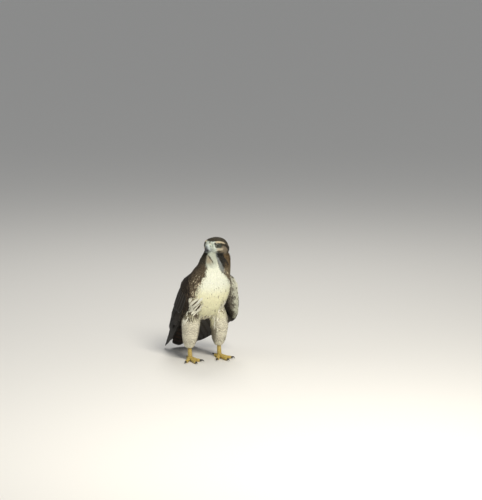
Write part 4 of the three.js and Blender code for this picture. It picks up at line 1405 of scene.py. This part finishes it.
rings = []
for s in np.linspace(-0.35, 6, 54):
    top = at(0, through(hook["topForward"], s), through(hook["topHeight"], s))
    edge = at(0, through(hook["edgeForward"], s), through(hook["edgeHeight"], s))
    tall = top - edge
    rise = np.linalg.norm(tall)
    half = max(through(hook["half"], s), 0.35) - 0.12 * (s < 0.1)
    rings.append(ovalRing(edge, [1, 0, 0], tall / rise, half, rise, 0.6, 40, 2))
points, faces = loft(rings)
reach = -points[:, 1] + np.maximum(-points[:, 2] - 2, 0) * 0.9
darkening = ease(42, 52, reach + np.sin(points[:, 2] * 1.3) * 0.6)[:, None]
tint = mixed(hook["base"], hook["tip"], darkening)
headPiece("bill_hook", points, faces, tint, hornFinish("billhorn", 0.42), "horn", "bill_upper")

points, faces = alongHead(mandible, 40, 2.1, 44)
tint = mixed(mandible["base"], hook["tip"], ease(36, 46, -points[:, 1])[:, None])
headPiece("bill_under", points, faces, tint, hornFinish("mandiblehorn", 0.46), "horn", "bill_lower")

# The gape: a soft rim along the corner of the mouth
gape = {
    "forward": [38, 34, 30, 27, 24, 22], "height": [-5.9, -6.3, -6.9, -7.7, -8.8, -9.8],
    "out": [7.2, 8.2, 9.3, 10.6, 12.0, 13.0], "half": [0.3, 0.5, 0.62, 0.7, 0.7, 0.3],
    "colour": (0.30, 0.31, 0.24),
}
parts = []
for side in (-1, 1):
    way = unit(at(side * 0.7, -1, -0.35))
    out = unit(np.cross(way, [0, 0, 1.0]))
    rings = []
    for s in np.linspace(0, 5, 26):
        away, forward, height = (through(gape[key], s) for key in ("out", "forward", "height"))
        half = through(gape["half"], s)
        wide, tall = max(half, 0.2) * 1.1, half * 0.8
        centre = at(side * away, forward, height)
        rings.append(ovalRing(centre, out, np.cross(out, way), wide, tall, tall, 12, 2))
    parts.append(loft(rings))
points, faces = joinParts(parts)
tint = np.tile(gape["colour"], (len(points), 1))
headPiece("gape_rim", points, faces, tint, bareSkinFinish("gapeskin", 1400, 0.1), "cere_skin")

# Eyes and lids
iris = {  # pupil, pale and edge say where each colour gives way to the next
    "pupil": (3.45, 3.62), "pale": (3.5, 6.5), "edge": (6.9, 7.7), "black": (0.004, 0.004, 0.004),
    "inner": (0.095, 0.095, 0.060), "outer": (0.13, 0.14, 0.10), "rim": (0.014, 0.014, 0.012),
    "fibres": 0.22, "spokes": 160,
}
lids = {
    "opening": 7.7, "upper": 3.2, "lower": 0.9, "shelf": 1.2, "colour": (0.050, 0.054, 0.048), "steps": 96,
    "tones": [1.5, 1.7, 1.3, 1, 0.9, 0.8, 0.7, 0.6, 0.8],
}


def eyeFinish(name):
    surface = {"Roughness": 0.1, "Coat Weight": 0.35, "Coat Roughness": 0.02, "Specular IOR Level": 0.35}
    f = Finish(name, surface)
    tint, grain = attributeOf(f, "tint"), f.noise(1800, 3)
    return f.feed(Base_Color=f.blend(grain, f.dim(tint, 0.8), tint), Normal=f.bump(grain, 0.03, 0.0002))


def eyeAxes(side):
    out = eyeWay(side)
    up = unit(np.array([0, 0, 1.0]) - out * out[2])
    return out, up, np.cross(up, out)


def lidProfile(a, side):  # reach from the eye's axis and rise along it, from the rim over the fold and back
    above, below = ease(0.1, 0.95, math.cos(a - 0.25 * side)), ease(0.3, 1, -math.cos(a))
    corner = ease(0.6, 1, abs(math.sin(a)))
    r = lids["opening"] - lids["upper"] * above - lids["lower"] * below - 0.35 * corner
    shelf = lids["shelf"] * ease(0.25, 0.95, math.cos(a - 0.1 * side))
    fold = 0.10 * math.sin(a * 23)

    def over(reach):
        return math.sqrt(eyeball["radius"] ** 2 - min(reach, 9.8) ** 2)

    return [
        (r + 0.25, over(r) + 0.15),
        (r, over(r) + 0.5),
        (r + 0.2, over(r) + 0.95),
        (r + 0.9, over(r) + 1.15 + fold),
        (r + 1.8, over(r + 1.8) + 1.5),
        (9.6 - above, over(9.2) + 2.2 + shelf),
        (11 - above, over(9.8) + 0.6 + shelf * 0.7),
        (10.2, 1.5),
        (r + 1.2, over(r + 1.2) - 0.8),
    ]


irisFinish = eyeFinish("hawkeye")
lidFinish = bareSkinFinish("lidskin", 1700, 0.2)
for side, name in ((-1, "right"), (1, "left")):
    centre = at(side * eyeball["lateral"], eyeball["forward"], eyeball["height"])
    out, up, across = eyeAxes(side)
    spokes = np.arange(iris["spokes"])
    nextSpoke = np.column_stack([spokes, (spokes + 1) % len(spokes)])
    fibre = spreadOver(chance.random((len(spokes), 1)), nextSpoke, 1)[:, 0]
    far = [[0.05], np.linspace(0.6, 3.3, 6), [3.45, 3.6], np.linspace(3.8, 7.3, 22), [7.5, 7.7, 8.2, 9.2, 10]]
    angles = [*np.arcsin(np.concatenate(far) / eyeball["radius"]), *np.radians([85, 100, 130, 160, 179])]
    turns = 2 * math.pi * spokes / len(spokes)
    radial = np.outer(np.cos(turns), up) + np.outer(np.sin(turns), across)
    rings, ringTints = [], []
    for a in angles:
        rings.append(centre + eyeball["radius"] * (math.cos(a) * out + math.sin(a) * radial))
        r = eyeball["radius"] * (math.sin(a) if a < 1.5 else 1)
        base = mixed(iris["inner"], iris["outer"], ease(*iris["pale"], r))
        base = base[None] * (1 + iris["fibres"] * (fibre[:, None] - 0.5) * 2)
        base = mixed(base, iris["rim"], ease(*iris["edge"], r))
        ringTints.append(mixed(iris["black"], base, ease(*iris["pupil"], r)))
    points, faces = loft(rings)
    tint = np.concatenate([*ringTints, [ringTints[0][0]], [ringTints[-1][0]]])
    headPiece("eye_ball_" + name, points, faces, tint, irisFinish, "eye", "eye_" + name)
    steps, n = lids["steps"], len(lids["tones"])
    lidRings = []
    for a in 2 * math.pi * np.arange(steps) / steps:
        radial = math.cos(a) * up + math.sin(a) * across
        reach, rise = np.array(lidProfile(a, side)).T[..., None]
        lidRings.append(centre + radial * reach + out * rise)
    faces = [
        [i * n + j, i * n + (j + 1) % n, (i + 1) % steps * n + (j + 1) % n, (i + 1) % steps * n + j][::-side]
        for i in range(steps)
        for j in range(n)
    ]
    tint = np.array(lids["colour"]) * np.tile(lids["tones"], steps)[:, None]
    headPiece("eyelid_" + name, np.concatenate(lidRings), faces, tint, lidFinish, "dark_feathers")
print("head pieces")

# Legs and feet
shank = {
    "lateral": 52, "top": 66, "bottom": 11, "radius": 6.2, "back": -4, "front": 2,
    "scutes": 11, "proud": 0.85,
}
foot = {
    "lateral": 52, "forward": 2, "radius": 11, "voxel": 0.75,
    "colour": (0.62, 0.46, 0.12), "deep": (0.34, 0.23, 0.06),
}
toes = {
    "inner": {"angle": -34, "length": 38, "radius": 5.6, "claw": 24},
    "middle": {"angle": 4, "length": 55, "radius": 5.4, "claw": 19},
    "outer": {"angle": 42, "length": 43, "radius": 5, "claw": 18},
    "hind": {"angle": 188, "length": 27, "radius": 5.8, "claw": 27},
    "share": [0.04, 0.2, 0.36, 0.5, 0.64, 0.8, 0.92, 1],
    "bulge": [1.15, 1.15, 1, 1.08, 0.92, 1.04, 0.92, 0.68],
    "rise": [8, 8.4, 7.4, 6.2, 5.4, 4.9, 5, 5.4],
    "scuteStep": 3.1, "proud": 0.7,
}
toeNames = ("inner", "middle", "outer", "hind")
claw = {
    "base": 3.6, "colour": (0.016, 0.015, 0.017), "root": (0.06, 0.055, 0.05), "gap": 0.35,
    "rings": 30, "around": 18,
}


def sawtooth(x):  # rises slowly and drops at the edge of each plate
    part = x - np.floor(x)
    return part**1.5 * ease(1.0, 0.86, part)


def toeWay(side, toe):
    angle = math.radians(toe["angle"]) * side
    return at(math.sin(angle), math.cos(angle), 0)


def toeRings(side, toe):
    way = toeWay(side, toe)
    across = np.array([-way[1], way[0], 0])
    start = at(side * foot["lateral"], foot["forward"], 0)
    rings = []
    for s in np.linspace(0.02, 1, 64):
        k = np.interp(s, toes["share"], np.arange(8))
        radius = toe["radius"] * through(toes["bulge"], k)
        centre = start + way * s * toe["length"] + np.array([0, 0, through(toes["rise"], k)])
        ring = ovalRing(np.zeros(3), across, [0, 0, 1], radius, radius, radius, 28, 2.1)
        top = ease(-0.1, 0.5, ring[:, 2] / radius)
        plate = sawtooth(s * toe["length"] / toes["scuteStep"]) - 0.4
        ring *= (1 + top * toes["proud"] / radius * plate)[:, None]
        rings.append(ring + centre)
    return rings


def footMesh():  # the right foot; the left one is its mirror image
    parts = [loft(toeRings(-1, toes[key])) for key in toeNames]
    rings = []
    for s in np.linspace(0, 1, 90):
        forward = shank["back"] + (shank["front"] - shank["back"]) * s
        height = shank["top"] + (shank["bottom"] - shank["top"]) * s
        centre = at(-shank["lateral"], forward, height)
        wide = shank["radius"] + 1.2 * s * s
        ring = ovalRing(np.zeros(3), [1, 0, 0], [0, 1, 0], wide, wide, wide + 0.3, 32, 2.0)
        front = ease(0.15, 0.7, -ring[:, 1] / wide)
        rear = ease(0.35, 0.8, ring[:, 1] / wide)
        plates = front * (1 - sawtooth(s * shank["scutes"]) - 0.4)
        plates = plates + rear * (1 - sawtooth(s * shank["scutes"] * 0.8 + 0.3) - 0.4)
        rings.append(ring * (1 + shank["proud"] / wide * plates)[:, None] + centre)
    parts.append(loft(rings))
    a, b = np.meshgrid(np.linspace(0.02, math.pi - 0.02, 26), 2 * math.pi * np.arange(36) / 36, indexing="ij")
    pad = np.stack([np.sin(a) * np.cos(b), np.sin(a) * np.sin(b) * 1.1, np.cos(a)], -1)
    pad = pad * (foot["radius"], foot["radius"], 7.0) + at(-foot["lateral"], foot["forward"], 7.4)
    parts.append(loft(list(pad)))
    points, tris, edges = remeshed("roughFoot", *joinParts(parts), foot["voxel"])
    points = spreadOver(points, edges, 2)
    points[:, 2] = np.maximum(points[:, 2], 0.15)
    return points, tris, edges


def clawMesh(side, toe):
    way = toeWay(side, toe)
    across = np.array([-way[1], way[0], 0])
    start = at(side * foot["lateral"], foot["forward"], 0)
    rings = []
    for s in np.linspace(-0.08, 1, claw["rings"]):
        bend = 0.5 - 1.65 * s
        run = math.sin(s * 1.7) * toe["claw"] * 0.62
        rise = 5.6 + math.sin(s * math.pi * 0.62) * 3.6 - s * abs(s) * 7.6
        centre = start + way * (toe["length"] + claw["gap"] + run) + np.array([0, 0, rise])
        facing = way * -math.sin(bend) + np.array([0, 0, math.cos(bend)])
        radius = claw["base"] + (0.3 - claw["base"]) * max(s, 0) ** 0.85
        rings.append(ovalRing(centre, across, facing, radius * 0.85, radius, radius, claw["around"], 2))
    return loft(rings)


scaleFinish = bareSkinFinish("legscales", 620, 0.4)
clawFinish = hornFinish("clawhorn", 0.28)
footPoints, footTris, footEdges = footMesh()
bulge = dot(vertexNormals(footPoints, footTris), footPoints - spreadOver(footPoints, footEdges, 6))[:, 0]
footTint = mixed(foot["deep"], foot["colour"], ease(-0.16, 0.12, bulge)[:, None])
for side, name in ((-1, "right"), (1, "left")):
    points = footPoints * np.array([-side, 1, 1])
    tris = footTris[:, ::-side] if side > 0 else footTris
    nodes = ["foot_" + name, "shank_" + name]
    tinted("foot_scales_" + name, points, (tris,), footTint, scaleFinish, "foot_skin", *nodes)
    parts = [clawMesh(side, toes[key]) for key in toeNames]
    points, faces = joinParts(parts)
    fromRoot = [*np.repeat(np.linspace(0, 1, claw["rings"]), claw["around"]), 0, 1]
    tint = mixed(claw["root"], claw["colour"], ease(0, 0.5, np.tile(fromRoot, len(parts)))[:, None])
    nodes = ["claw_" + name + "_" + key for key in toeNames]
    tinted("claws_" + name, points, faces, tint, clawFinish, "horn", *nodes)
print("feet", len(footTris))
